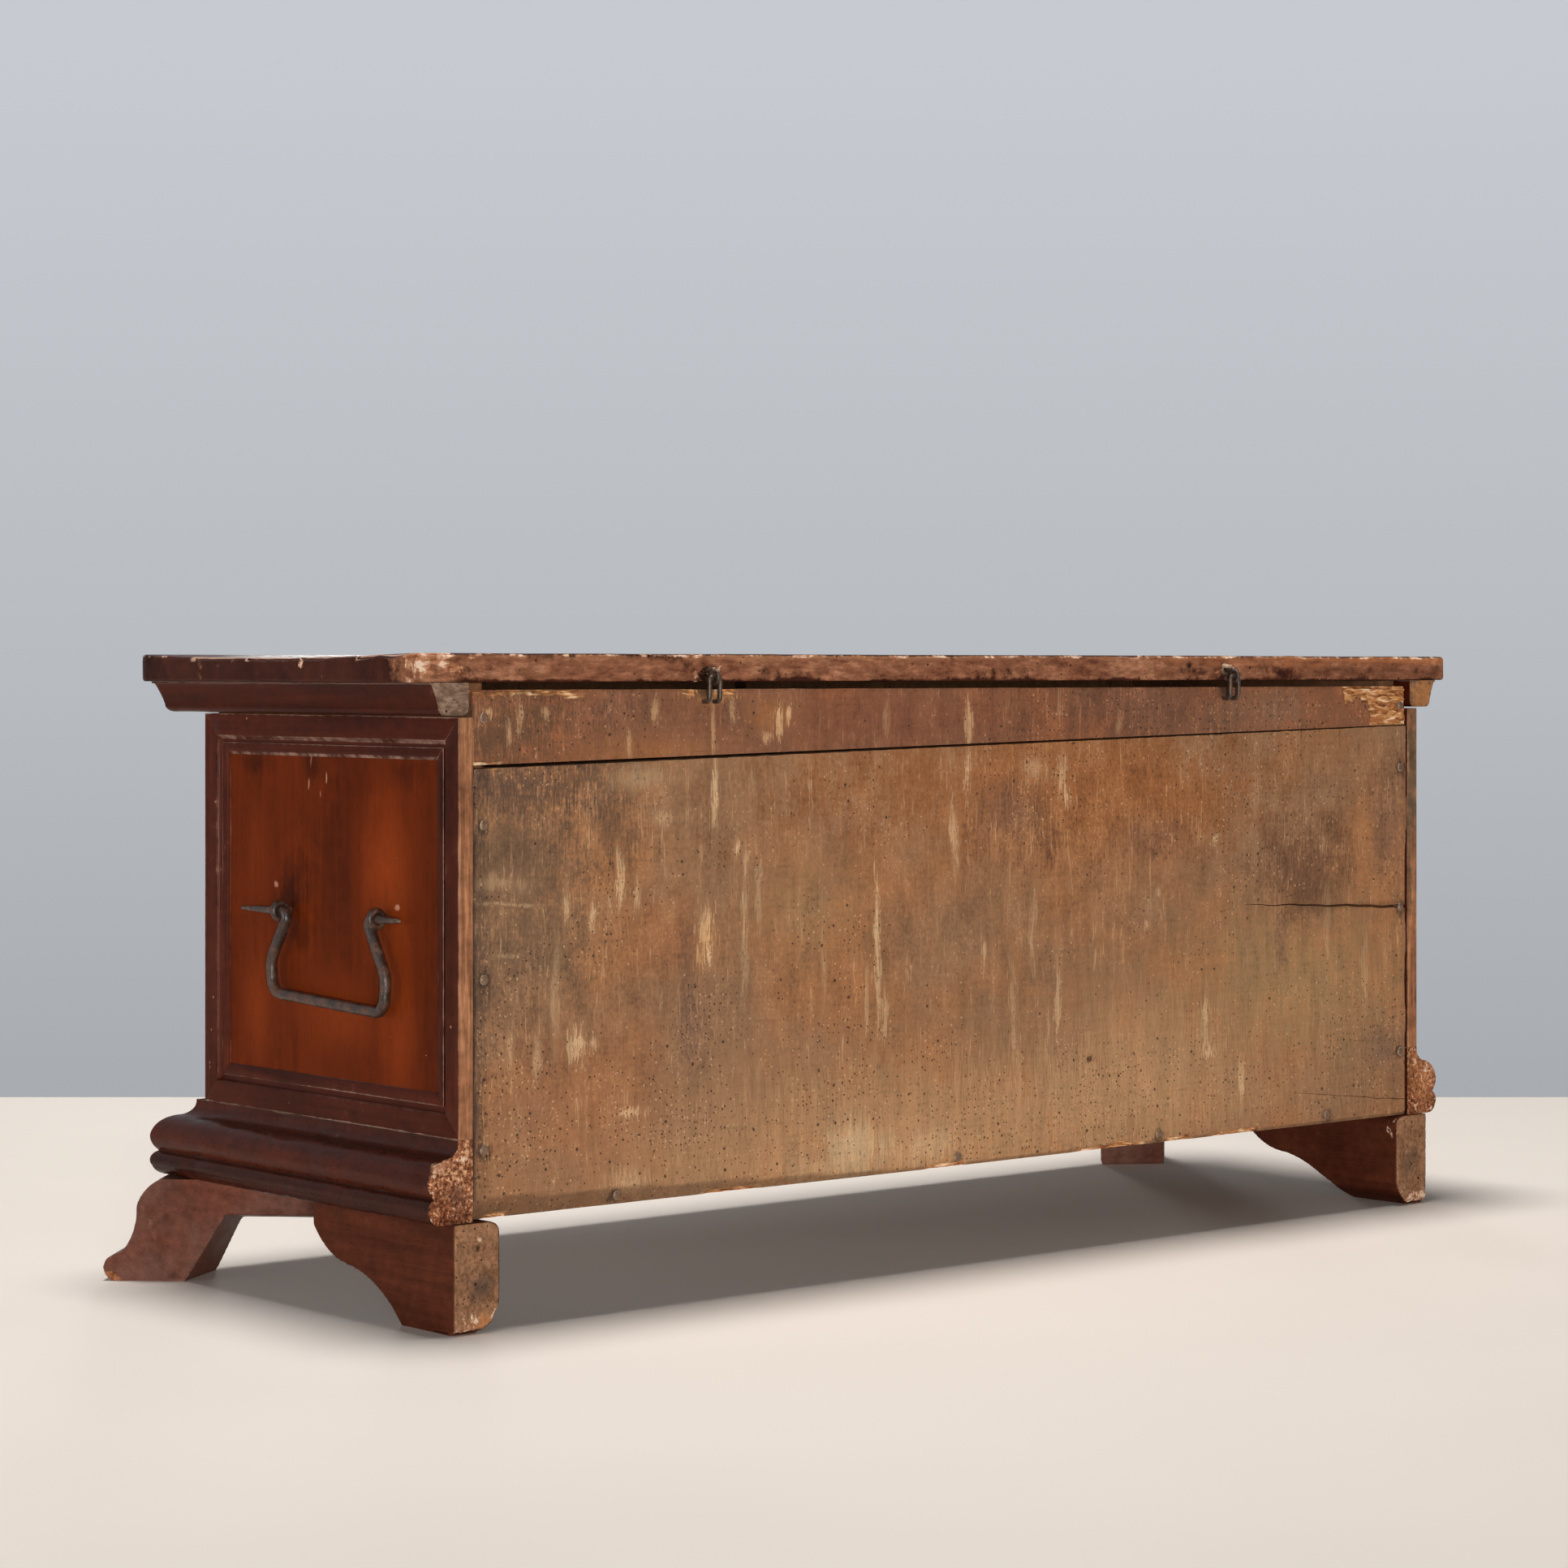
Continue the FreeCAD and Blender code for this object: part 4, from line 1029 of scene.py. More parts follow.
    @staticmethod
    def field_varnish(face: Axis, stains: tuple[Stain, ...]) -> Material:
        """The red-brown varnish of the flat fields, with upright grain.

        Args:
            face: The way that the field looks.
            stains: Its patches.

        Returns:
            The finish.
        """
        return Varnish(
            f"field_varnish_{face.name.lower()}", paint(74, 28, 10), paint(88, 34, 12), paint(106, 42, 13),
            paint(120, 70, 48), Axis.Z, face=face, gloss=0.34, wear=0.2, chips=0.0, contrast=0.5,
            stains=stains).material()

    @staticmethod
    def base_varnish(axis: Axis) -> Material:
        """The glossy varnish of the base moulding, worm-eaten at its raw ends.

        Args:
            axis: The way that the moulding runs.

        Returns:
            The finish.
        """
        return Varnish(
            f"base_varnish_{axis.name.lower()}", paint(42, 17, 10), paint(57, 24, 14), paint(80, 34, 19),
            paint(146, 120, 108), axis, gloss=0.24, sheen=0.08, wear=0.60, chips=0.03, dent=0.0008,
            raw=Raw((paint(70, 35, 22), paint(130, 78, 50), paint(204, 156, 120)), (300, 300, 300),
                    worm=0.8, depth=0.0012,
                    stains=(Stain(645, 116, 14, 22, paint(104, 70, 56), 0.7, rag=1.6),
                            Stain(-655, 135, 30, 50, paint(170, 112, 72), 0.6)))).material()

    @staticmethod
    def lid_varnish() -> Material:
        """The worn varnish of the lid's plank.

        Returns:
            The finish.
        """
        return Varnish(
            "lid_varnish", paint(42, 18, 12), paint(56, 26, 17), paint(78, 40, 27), paint(190, 154, 132),
            Axis.X, face=Axis.Z, gloss=0.34, sheen=0.05, wear=0.8, dent=0.0008, chips=0.03,
            raw=Raw((paint(104, 62, 45), paint(128, 83, 60), paint(152, 106, 80)), (50, 260, 160),
                    worm=0.10, depth=0.0007, contrast=0.85,
                    stains=(Stain(-640, 598, 420, 7, paint(172, 108, 68), 0.7),
                            Stain(-640, 582, 400, 9, paint(104, 66, 48), 0.5),
                            Stain(-285, 590, 5, 6, paint(30, 18, 12), 0.95, rag=1.0),
                            # The next band, pale along the top of the back edge, is painted light where the
                            # top lamp falls on the rim.
                            Stain(250, 599, 380, 5, paint(180, 128, 92), 0.5)))).material()

    @staticmethod
    def cleat_varnish(axis: Axis) -> Material:
        """The red varnish of the mouldings under the lid, with grey raw ends.

        Args:
            axis: The way that the moulding runs.

        Returns:
            The finish.
        """
        return Varnish(
            f"cleat_varnish_{axis.name.lower()}", paint(42, 16, 8), paint(56, 21, 11), paint(78, 29, 13),
            paint(140, 112, 98), axis, gloss=0.28, sheen=0.04, wear=0.40, chips=0.0,
            raw=Raw((paint(74, 56, 46), paint(104, 82, 68), paint(136, 112, 94)), (90, 90, 200),
                    worm=0.15, depth=0.0008, contrast=0.7,
                    stains=(Stain(-655, 560, 44, 40, paint(170, 116, 72), 0.85),))).material()


@dataclass
class BackBoards:
    """Two nailed planks with a slanted open seam, scraped, split, chewed and worm-eaten."""

    finishes: Finishes
    step: float = 4.0 * MM
    fine_step: float = 1.5 * MM
    edge_rows: tuple[float, ...] = (0.7 * MM, 1.6 * MM, 3.0 * MM, 5.0 * MM, 7.5 * MM)
    sag: float = 0.5 * MM
    bevel_low: float = 4.0 * MM
    bevel_gain: float = 15.0 * MM
    bevel_slope: float = 0.55
    bottom_wave: float = 3.2 * MM
    half_length: float = 630.0 * MM
    end_nails: float = 617.0 * MM

    def build(self) -> None:
        """Makes both boards."""
        self.lower()
        self.upper()

    def stations(self, low: float, high: float, fine: Sequence[tuple[float, float]]) -> list[float]:
        """Places along a board, close together in the fine stretches and near both ends.

        Args:
            low: The board's one end.
            high: Its other end.
            fine: The stretches where the net is closer.

        Returns:
            The places, in order.
        """
        places = [low]
        while places[-1] < high:
            here = places[-1]
            close = any(start <= here <= end for start, end in fine)
            places.append(here + (self.fine_step if close else self.step))
        stretch = (high - low) / (places[-1] - low)
        return [low + (place - low) * stretch for place in places]

    def rows(self, height: float) -> list[float]:
        """Distances up a board, close together near both edges.

        Args:
            height: The board's height.

        Returns:
            The distances, in order.
        """
        inner_low, inner_high = self.edge_rows[-1], height - self.edge_rows[-1]
        count = round((inner_high - inner_low) / self.step)
        middle = [inner_low + (inner_high - inner_low) * n / count for n in range(1, count)]
        return [0.0, *self.edge_rows, *middle, *[height - row for row in reversed(self.edge_rows)], height]

    def plank(self, node: str, fine: Sequence[tuple[float, float]]) -> Piece:
        """Makes a board from a grid: its outer face is a net, its back and sides are plain.

        Args:
            node: The board's node, whose outline the new board keeps.
            fine: The stretches along X, in metres, where the net is closer.

        Returns:
            The board, at its place.
        """
        low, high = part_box(node)
        points = [vertex.co for vertex in NODES[node].data.vertices]
        ends = {}
        for end in (low.x, high.x):
            heights = [point.z for point in points if abs(point.x - end) < 0.5 * MM]
            ends[end] = (min(heights), max(heights))
        columns = self.stations(low.x, high.x, fine)
        rows = self.rows(high.z - low.z)
        across, up = len(columns) - 1, len(rows) - 1
        bpy.ops.object.select_all(action="DESELECT")
        bpy.ops.mesh.primitive_grid_add(x_subdivisions=across, y_subdivisions=up, size=2.0)
        thing = bpy.context.object
        thing.name = node + "_aged"
        for vertex in thing.data.vertices:
            column = across - round((vertex.co.x + 1) / 2 * across)
            row = round((vertex.co.y + 1) / 2 * up)
            x = columns[column]
            share = (x - low.x) / (high.x - low.x)
            bottom = ends[low.x][0] + (ends[high.x][0] - ends[low.x][0]) * share
            top = ends[low.x][1] + (ends[high.x][1] - ends[low.x][1]) * share
            vertex.co = (x, high.y, bottom + (top - bottom) * rows[row] / rows[-1])
        bpy.ops.object.mode_set(mode="EDIT")
        bpy.ops.mesh.select_mode(type="EDGE")
        bpy.ops.mesh.select_all(action="SELECT")
        bpy.ops.mesh.region_to_loop()
        bpy.ops.mesh.extrude_edges_move(TRANSFORM_OT_translate={"value": (0, low.y - high.y, 0)})
        bpy.ops.mesh.edge_face_add()
        bpy.ops.mesh.select_all(action="SELECT")
        bpy.ops.mesh.normals_make_consistent(inside=False)
        bpy.ops.object.mode_set(mode="OBJECT")
        return Piece(thing, node)

    @staticmethod
    def blade(start: Vector, end: Vector, width: float, depth: float, seed: float) -> Thing:
        """A long thin wedge along a wandering line, to cut a split into a board.

        Args:
            start: The split's open end, on the board's face.
            end: The split's closed end.
            width: The split's width at its open end.
            depth: The split's depth.
            seed: A number that sets how the line wanders.

        Returns:
            The wedge.
        """
        bpy.ops.object.select_all(action="DESELECT")
        bpy.ops.mesh.primitive_cube_add(size=1.0)
        wedge = Piece(bpy.context.object, "")
        wedge.slice(Axis.X, 1.0 / 26)
        for vertex in wedge.thing.data.vertices:
            along, inward, up = vertex.co.x + 0.5, 0.5 - vertex.co.y, vertex.co.z * 2
            spot = start.lerp(end, along)
            wander = swell(Vector((along, 0, 0)), 0.11, seed) * 1.6 * MM
            half = width / 2 * (1 - along) ** 0.7 * (1.02 - inward) + 0.04 * MM
            inward_way = Vector((0, -depth * inward + 2 * MM * (1 - inward), 0))
            vertex.co = spot + inward_way + Vector((0, 0, wander + up * half))
        return wedge.thing

    def skin(self, place: Vector, seed: float) -> float:
        """How far the scraped outer face lies back at a place.

        Args:
            place: The point.
            seed: A number that sets the pattern.

        Returns:
            The distance in metres.
        """
        wide = swell(place, 90 * MM, seed)
        close = swell(Vector((place.x * 2.2, place.y, place.z * 0.6)), 16 * MM, seed)
        return -self.sag * (0.5 + 0.4 * wide) - 0.12 * MM * (1 + close)

    def bevel(self, place: Vector) -> float:
        """How tall the hewn slope of the lower board's bottom edge is at a place."""
        tall = self.bevel_low + self.bevel_gain * rise(place.x, 0.05, 0.62)
        return tall * (1 + 0.2 * swell(Vector((place.x, 0, 0)), 70 * MM, 2.0))

    def crack(self, place: Vector) -> float:
        """How deep a place lies in the gap that has opened beside the stiles, from 0 to 1.

        Args:
            place: The point.

        Returns:
            The share.
        """
        wander = swell(Vector((place.x, 0, place.z)), 45 * MM, 22.0)
        near_end, upper_part = rise(place.x, 0.0, 0.1), rise(place.z, 0.36, 0.44)
        wide = max((3.6 + 1.4 * near_end + 1.8 * wander - 1.8 * upper_part) * MM, 1.0 * MM)
        return rise(self.half_length - abs(place.x), wide, 0.7 * wide)

    def lower(self) -> None:
        """Makes the tall lower board, with its hewn bottom edge, dents and splits."""
        low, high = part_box("back_board_lower")
        board = self.plank("back_board_lower", [(-0.635, -0.56), (0.56, 0.635)])
        points = [vertex.co for vertex in NODES["back_board_lower"].data.vertices]
        seam_right = max(point.z for point in points if point.x > high.x - 0.5 * MM)
        gouges = ((456, 181, 20, 5, 1.6), (-139, 192, 6, 5, 1.8), (362, 332, 7, 18, 0.9),
                  (515, 250, 8, 10, 0.9), (-107, 461, 6, 8, 0.9), (150, 330, 4, 60, 0.5),
                  (-322, 409, 6, 5, 0.8))
        chips = ((-170, 62), (-355, 48), (-270, 22), (60, 30), (330, 40), (600, 16))

        def chipped(place: Vector) -> float:
            """How far the bottom edge is broken at a place, from 0 to 1.

            Args:
                place: The point.

            Returns:
                The share.
            """
            edge = max(rise(abs(place.x - x * MM), reach * MM, reach * 0.6 * MM) for x, reach in chips)
            ragged = 6.5 * MM * (1 + 0.7 * swell(place, 9 * MM, 4.0))
            return edge * rise(place.z - low.z, ragged, ragged * 0.5)

        def back(place: Vector, normal: Vector) -> float:
            """How far a point of the outer face lies back.

            Args:
                place: The point.
                normal: Its normal, which is not used.

            Returns:
                The distance in metres.
            """
            if place.y < high.y - 1 * MM:
                return 0.0
            depth = self.skin(place, 1.0) - 3 * MM * self.crack(place)
            depth -= self.bevel_slope * max(0.0, self.bevel(place) - place.z + low.z)
            for x, z, wide, tall, deep in gouges:
                spot = math.hypot((place.x - x * MM) / (wide * MM), (place.z - z * MM) / (tall * MM))
                depth -= deep * MM * rise(spot + 0.3 * swell(place, 7 * MM, 3.0), 1.0, 0.2)
            depth -= 2.6 * MM * chipped(place) * (1 + 0.6 * swell(place, 5 * MM, 5.0))
            return depth

        def ragged_bottom(place: Vector, normal: Vector) -> float:
            """How far a point of the bottom edge is raised.

            Args:
                place: The point.
                normal: Its normal, which is not used.

            Returns:
                The distance in metres.
            """
            if place.z > low.z + 0.3 * MM:
                return 0.0
            return self.bottom_wave * 0.5 * (1 + swell(Vector((place.x, 0, 0)), 85 * MM, 6.0))

        def worn_seam(place: Vector, normal: Vector) -> float:
            """How far the top edge's outer corner is rubbed down.

            Args:
                place: The point.
                normal: Its normal, which is not used.

            Returns:
                The distance in metres.
            """
            share = (place.x - low.x) / (high.x - low.x)
            top = high.z + (seam_right - high.z) * share
            near = rise(top - place.z, 3 * MM, 0.0) * rise(place.y, high.y - 4 * MM, high.y - 1 * MM)
            return -near * (0.7 + 0.5 * swell(place, 12 * MM, 7.0)) * MM

        def fresh(place: Vector, normal: Vector) -> float:
            """How freshly the wood is broken at a point: along the bottom, and at the seam's near end.

            Args:
                place: The point.
                normal: Its normal, which is not used.

            Returns:
                The share.
            """
            near_seam = rise(place.z - seam_right, -9 * MM, -3 * MM)
            near_nails = rise(abs(place.x - self.end_nails), 26 * MM, 10 * MM)
            return max(0.9 * chipped(place), 0.45 * near_nails * near_seam)

        def shade(place: Vector, normal: Vector) -> float:
            """How much painted shade a point gets: on the down-facing hewn slope, in the crack, and beside
            the near stile.
            """
            slope = rise(self.bevel(place) - place.z + low.z, -1 * MM, 1 * MM) * (1 - chipped(place))
            return max(0.52 * slope, 0.95 * self.crack(place), 0.16 * rise(place.x, 0.606, 0.622))

        def eaten(place: Vector, normal: Vector) -> float:
            """How worm-eaten a point is: low down, and at the top in the middle of the far half."""
            top = rise(place.x, -0.02, -0.12) * rise(place.z, 0.40, 0.45) * rise(place.x, -0.50, -0.44)
            return max(rise(place.z, 0.29, 0.14), 0.7 * top)

        board.shape(back, Axis.Y.unit())
        board.shape(ragged_bottom, Axis.Z.unit())
        board.shape(worn_seam, Axis.Z.unit())
        splits = (((-0.632, 0.3270), (-0.365, 0.3395), 4.0, 11.0, 8.0),
                  ((-0.632, 0.1145), (-0.440, 0.1360), 1.0, 6.0, 9.0))
        for (open_x, open_z), (shut_x, shut_z), width, depth, seed in splits:
            start, end = Vector((open_x, high.y, open_z)), Vector((shut_x, high.y, shut_z))
            board.carve(self.blade(start, end, width * MM, depth * MM, seed))
        board.mark("fresh", fresh).mark("shade", shade).mark("eaten", eaten)
        board.seat(self.finishes.back_lower, 50.0)

    def upper(self) -> None:
        """Makes the tapered upper board, broken at its far corner and chewed round the hinges."""
        low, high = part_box("back_board_upper")
        board = self.plank("back_board_upper", [(-0.635, -0.500), (-0.385, -0.300), (0.320, 0.400)])
        hinges = [sum(corner.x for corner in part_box(f"hinge_staple_{side.value}")) / 2 for side in Side]

        def broken(place: Vector) -> float:
            """How much a place lies in the broken corner, from 0 to 1.

            Args:
                place: The point.

            Returns:
                The share.
            """
            jag = 9 * MM * swell(place, 14 * MM, 11.0) + 4 * MM * swell(place, 5 * MM, 12.0)
            deep_part = rise(place.x + jag, -0.562, -0.570)
            top_part = rise(place.x + jag * 0.5, -0.524, -0.529) * rise(place.z + jag, 0.552, 0.556)
            return max(deep_part, top_part)

        def chewed(place: Vector) -> float:
            """How much a place lies in the wood that the hinges have torn, from 0 to 1.

            Args:
                place: The point.

            Returns:
                The share.
            """
            torn = 0.0
            for hinge, wide, tall in zip(hinges, (26 * MM, 22 * MM), (11 * MM, 17 * MM)):
                spot = math.hypot((place.x - hinge) / wide, (high.z - place.z) / tall)
                torn = max(torn, rise(spot + 0.35 * swell(place, 8 * MM, 13.0), 1.0, 0.35))
            return torn

        def strip(place: Vector) -> float:
            """How much a place lies in the thin broken strip along the near top edge."""
            ragged = 5 * MM * (1 + swell(place, 30 * MM, 14.0))
            return rise(place.x, 0.47, 0.52) * rise(high.z - place.z, ragged + 2 * MM, ragged)

        def back(place: Vector, normal: Vector) -> float:
            """How far a point of the outer face lies back.

            Args:
                place: The point.
                normal: Its normal, which is not used.

            Returns:
                The distance in metres.
            """
            if place.y < high.y - 1 * MM:
                return 0.0
            depth = self.skin(place, 15.0)
            fibre = swell(Vector((place.x * 0.16, 0, place.z)), 2.6 * MM, 16.0)
            depth -= broken(place) * (4.6 + 2.4 * fibre + 1.6 * swell(place, 22 * MM, 17.0)) * MM
            depth -= chewed(place) * (3.4 + 1.6 * fibre) * MM
            depth -= strip(place) * (1.5 + 0.6 * fibre) * MM
            near_top = rise(high.z - place.z, 3 * MM, 0.0)
            return depth - near_top * (0.8 + 0.5 * swell(place, 20 * MM, 18.0)) * MM

        def nibbled(place: Vector, normal: Vector) -> float:
            """How far a point of the top edge is worn down.

            Args:
                place: The point.
                normal: Its normal, which is not used.

            Returns:
                The distance in metres.
            """
            if place.z < high.z - 0.3 * MM:
                return 0.0
            worn = 0.5 + 0.5 * swell(Vector((place.x, 0, 0)), 40 * MM, 19.0)
            rough = 1.4 * abs(swell(place, 6 * MM, 20.0)) * max(broken(place), chewed(place))
            return -(0.7 * worn + rough + 2.2 * chewed(place) * rise(place.y, low.y, high.y)) * MM

        def fresh(place: Vector, normal: Vector) -> float:
            """How freshly the wood is broken at a point, from 0 to 1.

            Args:
                place: The point.
                normal: Its normal, which is not used.

            Returns:
                The share.
            """
            away = abs(place.x - hinges[0])
            beside = rise(away, 40 * MM, 24 * MM) * rise(away, 6 * MM, 11 * MM)
            beside *= rise(high.z - place.z, 9 * MM, 4 * MM)
            seam = rise(abs(place.x - self.end_nails), 26 * MM, 10 * MM) * rise(place.z, 0.509, 0.505)
            return max(broken(place), 0.55 * strip(place), 0.75 * beside, 0.5 * seam)

        board.shape(nibbled, Axis.Z.unit())
        board.shape(back, Axis.Y.unit())
        board.mark("fresh", fresh)
        board.mark("eaten", lambda place, normal: 0.8 * rise(place.x, 0.10, -0.10))
        # Painted shade in the middle of the wood that the hinges have torn.
        board.mark("shade", lambda place, normal: min(1.0, 0.9 * chewed(place)) * rise(
            min(abs(place.x - hinge) for hinge in hinges), 13 * MM, 6 * MM))
        board.seat(self.finishes.back_upper, 50.0)


@dataclass
class Joinery:
    """The moulded frames, their flat fields, and the boards that carry them."""

    finishes: Finishes
    arris: float = 0.8 * MM
    cut: float = 14.0 * MM
    sway: float = 0.30 * MM
    margin: float = 1.8 * MM
    moulded: float = 13.0 * MM
    painted_floor_reflection: float = 0.55
    core_height: float = 350.0 * MM

    def build(self) -> None:
        """Makes the frames, fields and boards of both ends, the front and the floor."""
        for side in Side:
            for member, axis in (("rail_top", Axis.Y), ("rail_bottom", Axis.Y),
                                 ("stile_front", Axis.Z), ("stile_rear", Axis.Z)):
                self.member(f"end_{member}_{side.value}", axis, Axis.X)
            for member, axis in (("rail_top", Axis.X), ("rail_bottom", Axis.X),
                                 ("stile_outer", Axis.Z), ("stile_inner", Axis.Z)):
                self.member(f"front_{member}_{side.value}", axis, Axis.Y)
            self.field(f"end_panel_{side.value}", Axis.Y, self.finishes.field)
            self.field(f"front_panel_{side.value}", Axis.X, self.finishes.front_field)
            self.board(f"end_board_{side.value}", Axis.Y, self.finishes.inside_upright)
        self.board("front_board", Axis.X, self.finishes.inside)
        for place in ("front", "rear"):
            self.board(f"bottom_board_{place}", Axis.X, self.finishes.floor)

    @staticmethod
    def outward(node: str, face: Axis) -> float:
        """The sign of the way along an axis in which a node looks out of the chest."""
        return math.copysign(1.0, sum(corner[face.value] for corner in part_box(node)))

    def member(self, node: str, axis: Axis, face: Axis) -> None:
        """Makes one mitred member, with softened arrises, and a raw back edge on the ends' rear stiles.

        Args:
            node: The member's node.
            axis: The way that it runs.
            face: The way that its moulded face looks.
        """
        low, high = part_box(node)
        outward = self.outward(node, face)
        surface = max(abs(low[face.value]), abs(high[face.value]))

        def worn(place: Vector, normal: Vector) -> float:
            """How far a point is rubbed in from the moulded face.

            Args:
                place: The point.
                normal: Its normal.

            Returns:
                The distance in metres.
            """
            if abs(place[face.value]) < surface - self.moulded or normal[face.value] * outward < 0.2:
                return 0.0
            nick = max(0.0, swell(place, 18 * MM, 23.0) - 0.28) * 1.6 * MM
            return -self.sway * (0.5 + 0.5 * swell(place, 60 * MM, 21.0)) - nick

        piece = Piece.copy_of(node).support(axis, self.margin).soften(self.arris).slice(axis, self.cut)
        # The arris values put the rubbed colour on the arrises: wear, with painted highlight lines.
        piece.mark_edges(20.0, 60.0, axis)
        # The top rails' downward-facing moulding gets the rubbed colour as a painted reflection of the pale
        # floor.
        if "rail_top" in node:
            piece.raise_mark("arris", lambda place, normal: self.painted_floor_reflection * rise(normal.z, -0.2, -0.5))
        piece.shape(worn, face.unit(outward))
        piece.mark("bare", lambda place, normal: rise(normal.y, 0.5, 0.9) * rise(
            place.y, high.y - 1.2 * MM, high.y - 0.6 * MM) if node.startswith("end_stile_rear") else 0.0)
        piece.seat(self.finishes.frames[axis])

    def field(self, node: str, across: Axis, finish: Material) -> None:
        """Makes one flat field, gently uneven.

        Args:
            node: The field's node.
            across: The level way along it.
            finish: Its finish.
        """
        face = Axis.X if across is Axis.Y else Axis.Y
        outward = self.outward(node, face)

        def uneven(place: Vector, normal: Vector) -> float:
            """How far a point of the outer face lies back.

            Args:
                place: The point.
                normal: Its normal.

            Returns:
                The distance in metres.
            """
            if normal[face.value] * outward < 0.9:
                return 0.0
            ripple = swell(Vector((place.x * 2, place.y * 2, place.z * 0.5)), 55 * MM, 25.0)
            return -0.25 * MM * (1 + ripple)

        piece = Piece.copy_of(node).slice(across, 12 * MM).slice(Axis.Z, 24 * MM)
        piece.shape(uneven, face.unit(outward))
        piece.seat(finish)

    def board(self, node: str, along: Axis, finish: Material) -> None:
        """Makes one structural board, with soft edges and a little wear.

        Args:
            node: The board's node.
            along: The way that it is cut into steps.
            finish: Its finish.
        """
        piece = Piece.copy_of(node).soften(1.0 * MM).slice(along, 30 * MM)
        low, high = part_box(node)
        middle = (low + high) / 2

        def dished(place: Vector, normal: Vector) -> float:
            """How far a point of the inner face lies back.

            Args:
                place: The point.
                normal: Its normal.

            Returns:
                The distance in metres.
            """
            inner = normal.dot(Vector((-middle.x, -middle.y, self.core_height - middle.z)))
            if inner < 0.0 or node.startswith(("end", "front")):
                return 0.0
            return -0.2 * MM * (1 + swell(place, 70 * MM, 27.0))

        piece.shape(dished).mark_edges()
        piece.seat(finish)


@dataclass
class Mouldings:
    """The base mouldings and the mouldings under the lid, with their raw ends."""

    finishes: Finishes
    arris: float = 1.1 * MM
    cut: float = 11.0 * MM
    margin: float = 2.2 * MM
    net: float = 2.3 * MM
    pit: float = 2.6 * MM
    lid_height: float = 500.0 * MM

    def build(self) -> None:
        """Makes the six mouldings."""
        for side in Side:
            self.run(f"base_moulding_{side.value}", Axis.Y, 1.0, self.pit, self.finishes.base[Axis.Y])
            self.run(f"lid_moulding_{side.value}", Axis.Y, 0.5, 0.6 * MM, self.finishes.cleats[Axis.Y])
        self.run("base_moulding_front", Axis.X, 1.0, 0.0, self.finishes.base[Axis.X])
        self.run("lid_moulding_front", Axis.X, 0.5, 0.0, self.finishes.cleats[Axis.X])

    def run(self, node: str, axis: Axis, wear: float, pit: float, finish: Material) -> None:
        """Makes one moulding.

        Args:
            node: The moulding's node.
            axis: The way that it runs.
            wear: How worn it is, 1 for the base.
            pit: How deep its raw back end is eaten.
            finish: Its finish.
        """
        low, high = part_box(node)
        rear = high.y
        piece = Piece.copy_of(node).support(axis, self.margin).soften(self.arris)
        if pit:
            piece.net_cap(Axis.Y, (Axis.X, Axis.Z), self.net)
        piece.slice(axis, self.cut if axis is Axis.Y else 2 * self.cut)
        if pit:
            piece.cut(Axis.Y, [rear - reach * MM for reach in (1.5, 3.0, 5.0, 7.5)])
        piece.mark_edges(20.0, 60.0, axis)
        under_lid = low.z > self.lid_height
        inner = min(abs(low.x), abs(high.x)) if axis is Axis.Y else 0.0

        def hidden(place: Vector) -> bool:
            """Whether a point lies against the chest or the lid.

            Args:
                place: The point.

            Returns:
                True if it does.
            """
            if under_lid and abs(place.z - high.z) < 0.3 * MM:
                return True
            return (axis is Axis.Y and abs(place.x) < inner + 0.3 * MM) or (
                axis is Axis.X and place.y > high.y - 0.3 * MM)

        def worn(place: Vector, normal: Vector) -> float:
            """How far a point is rubbed or dented inwards.

            Args:
                place: The point.
                normal: Its normal, which is not used.

            Returns:
                The distance in metres.
            """
            if hidden(place) or (axis is Axis.Y and place.y > rear - 0.5 * MM):
                return 0.0
            dent = max(0.0, swell(place, 26 * MM, 31.0) - 0.22) * 2.6 * MM
            bruise = max(0.0, swell(place, 9 * MM, 32.0) - 0.36) * 2.2 * MM
            return -wear * (0.22 * MM * (1 + swell(place, 60 * MM, 33.0)) + dent + bruise)

        def eaten(place: Vector, normal: Vector) -> float:
            """How far a point of the raw end is eaten away.

            Args:
                place: The point.
                normal: Its normal.

            Returns:
                The distance in metres.
            """
            if not pit or normal.y < 0.55 or place.y < rear - 2 * MM:
                return 0.0
            lump = 0.5 + 0.5 * swell(Vector((place.x, 0, place.z)), 11 * MM, 34.0)
            hole = rise(swell(Vector((place.x, 0, place.z)), 3.6 * MM, 35.0), 0.05, 0.5)
            return -pit * (0.5 * lump + 0.4 * hole) * rise(normal.y, 0.5, 0.95)

        piece.shape(worn)
        piece.mark("bare", lambda place, normal: rise(normal.y, 0.3, 0.8) if pit and place.y > rear - 3 * MM
                   else 0.0)
        lip = low.z + 0.70 * (high.z - low.z)

        def chipped(place: Vector, normal: Vector) -> float:
            """How freshly chipped a point near the raw end is, from 0 to 1.

            Args:
                place: The point.
                normal: Its normal.

            Returns:
                The share.
            """
            if pit < self.pit or place.y < rear - 22 * MM:
                return 0.0
            across = abs(place.x) - inner - 36 * MM
            spot = Vector((across / 15, (place.y - rear) / 13, (place.z - lip) / 9))
            near = rise(spot.length / MM + 0.5 * swell(place, 6 * MM, 37.0), 1.1, 0.4)
            if normal.y > 0.3 and place.y > rear - 3 * MM:
                return max(0.8 * near, 0.45 * rise(swell(place, 5 * MM, 36.0), 0.1, 0.5))
            return 0.85 * near

        piece.mark("fresh", chipped)
        tall = high.z - low.z
        dark_top, dark_bottom = low.z + 0.36 * tall, low.z + 0.24 * tall
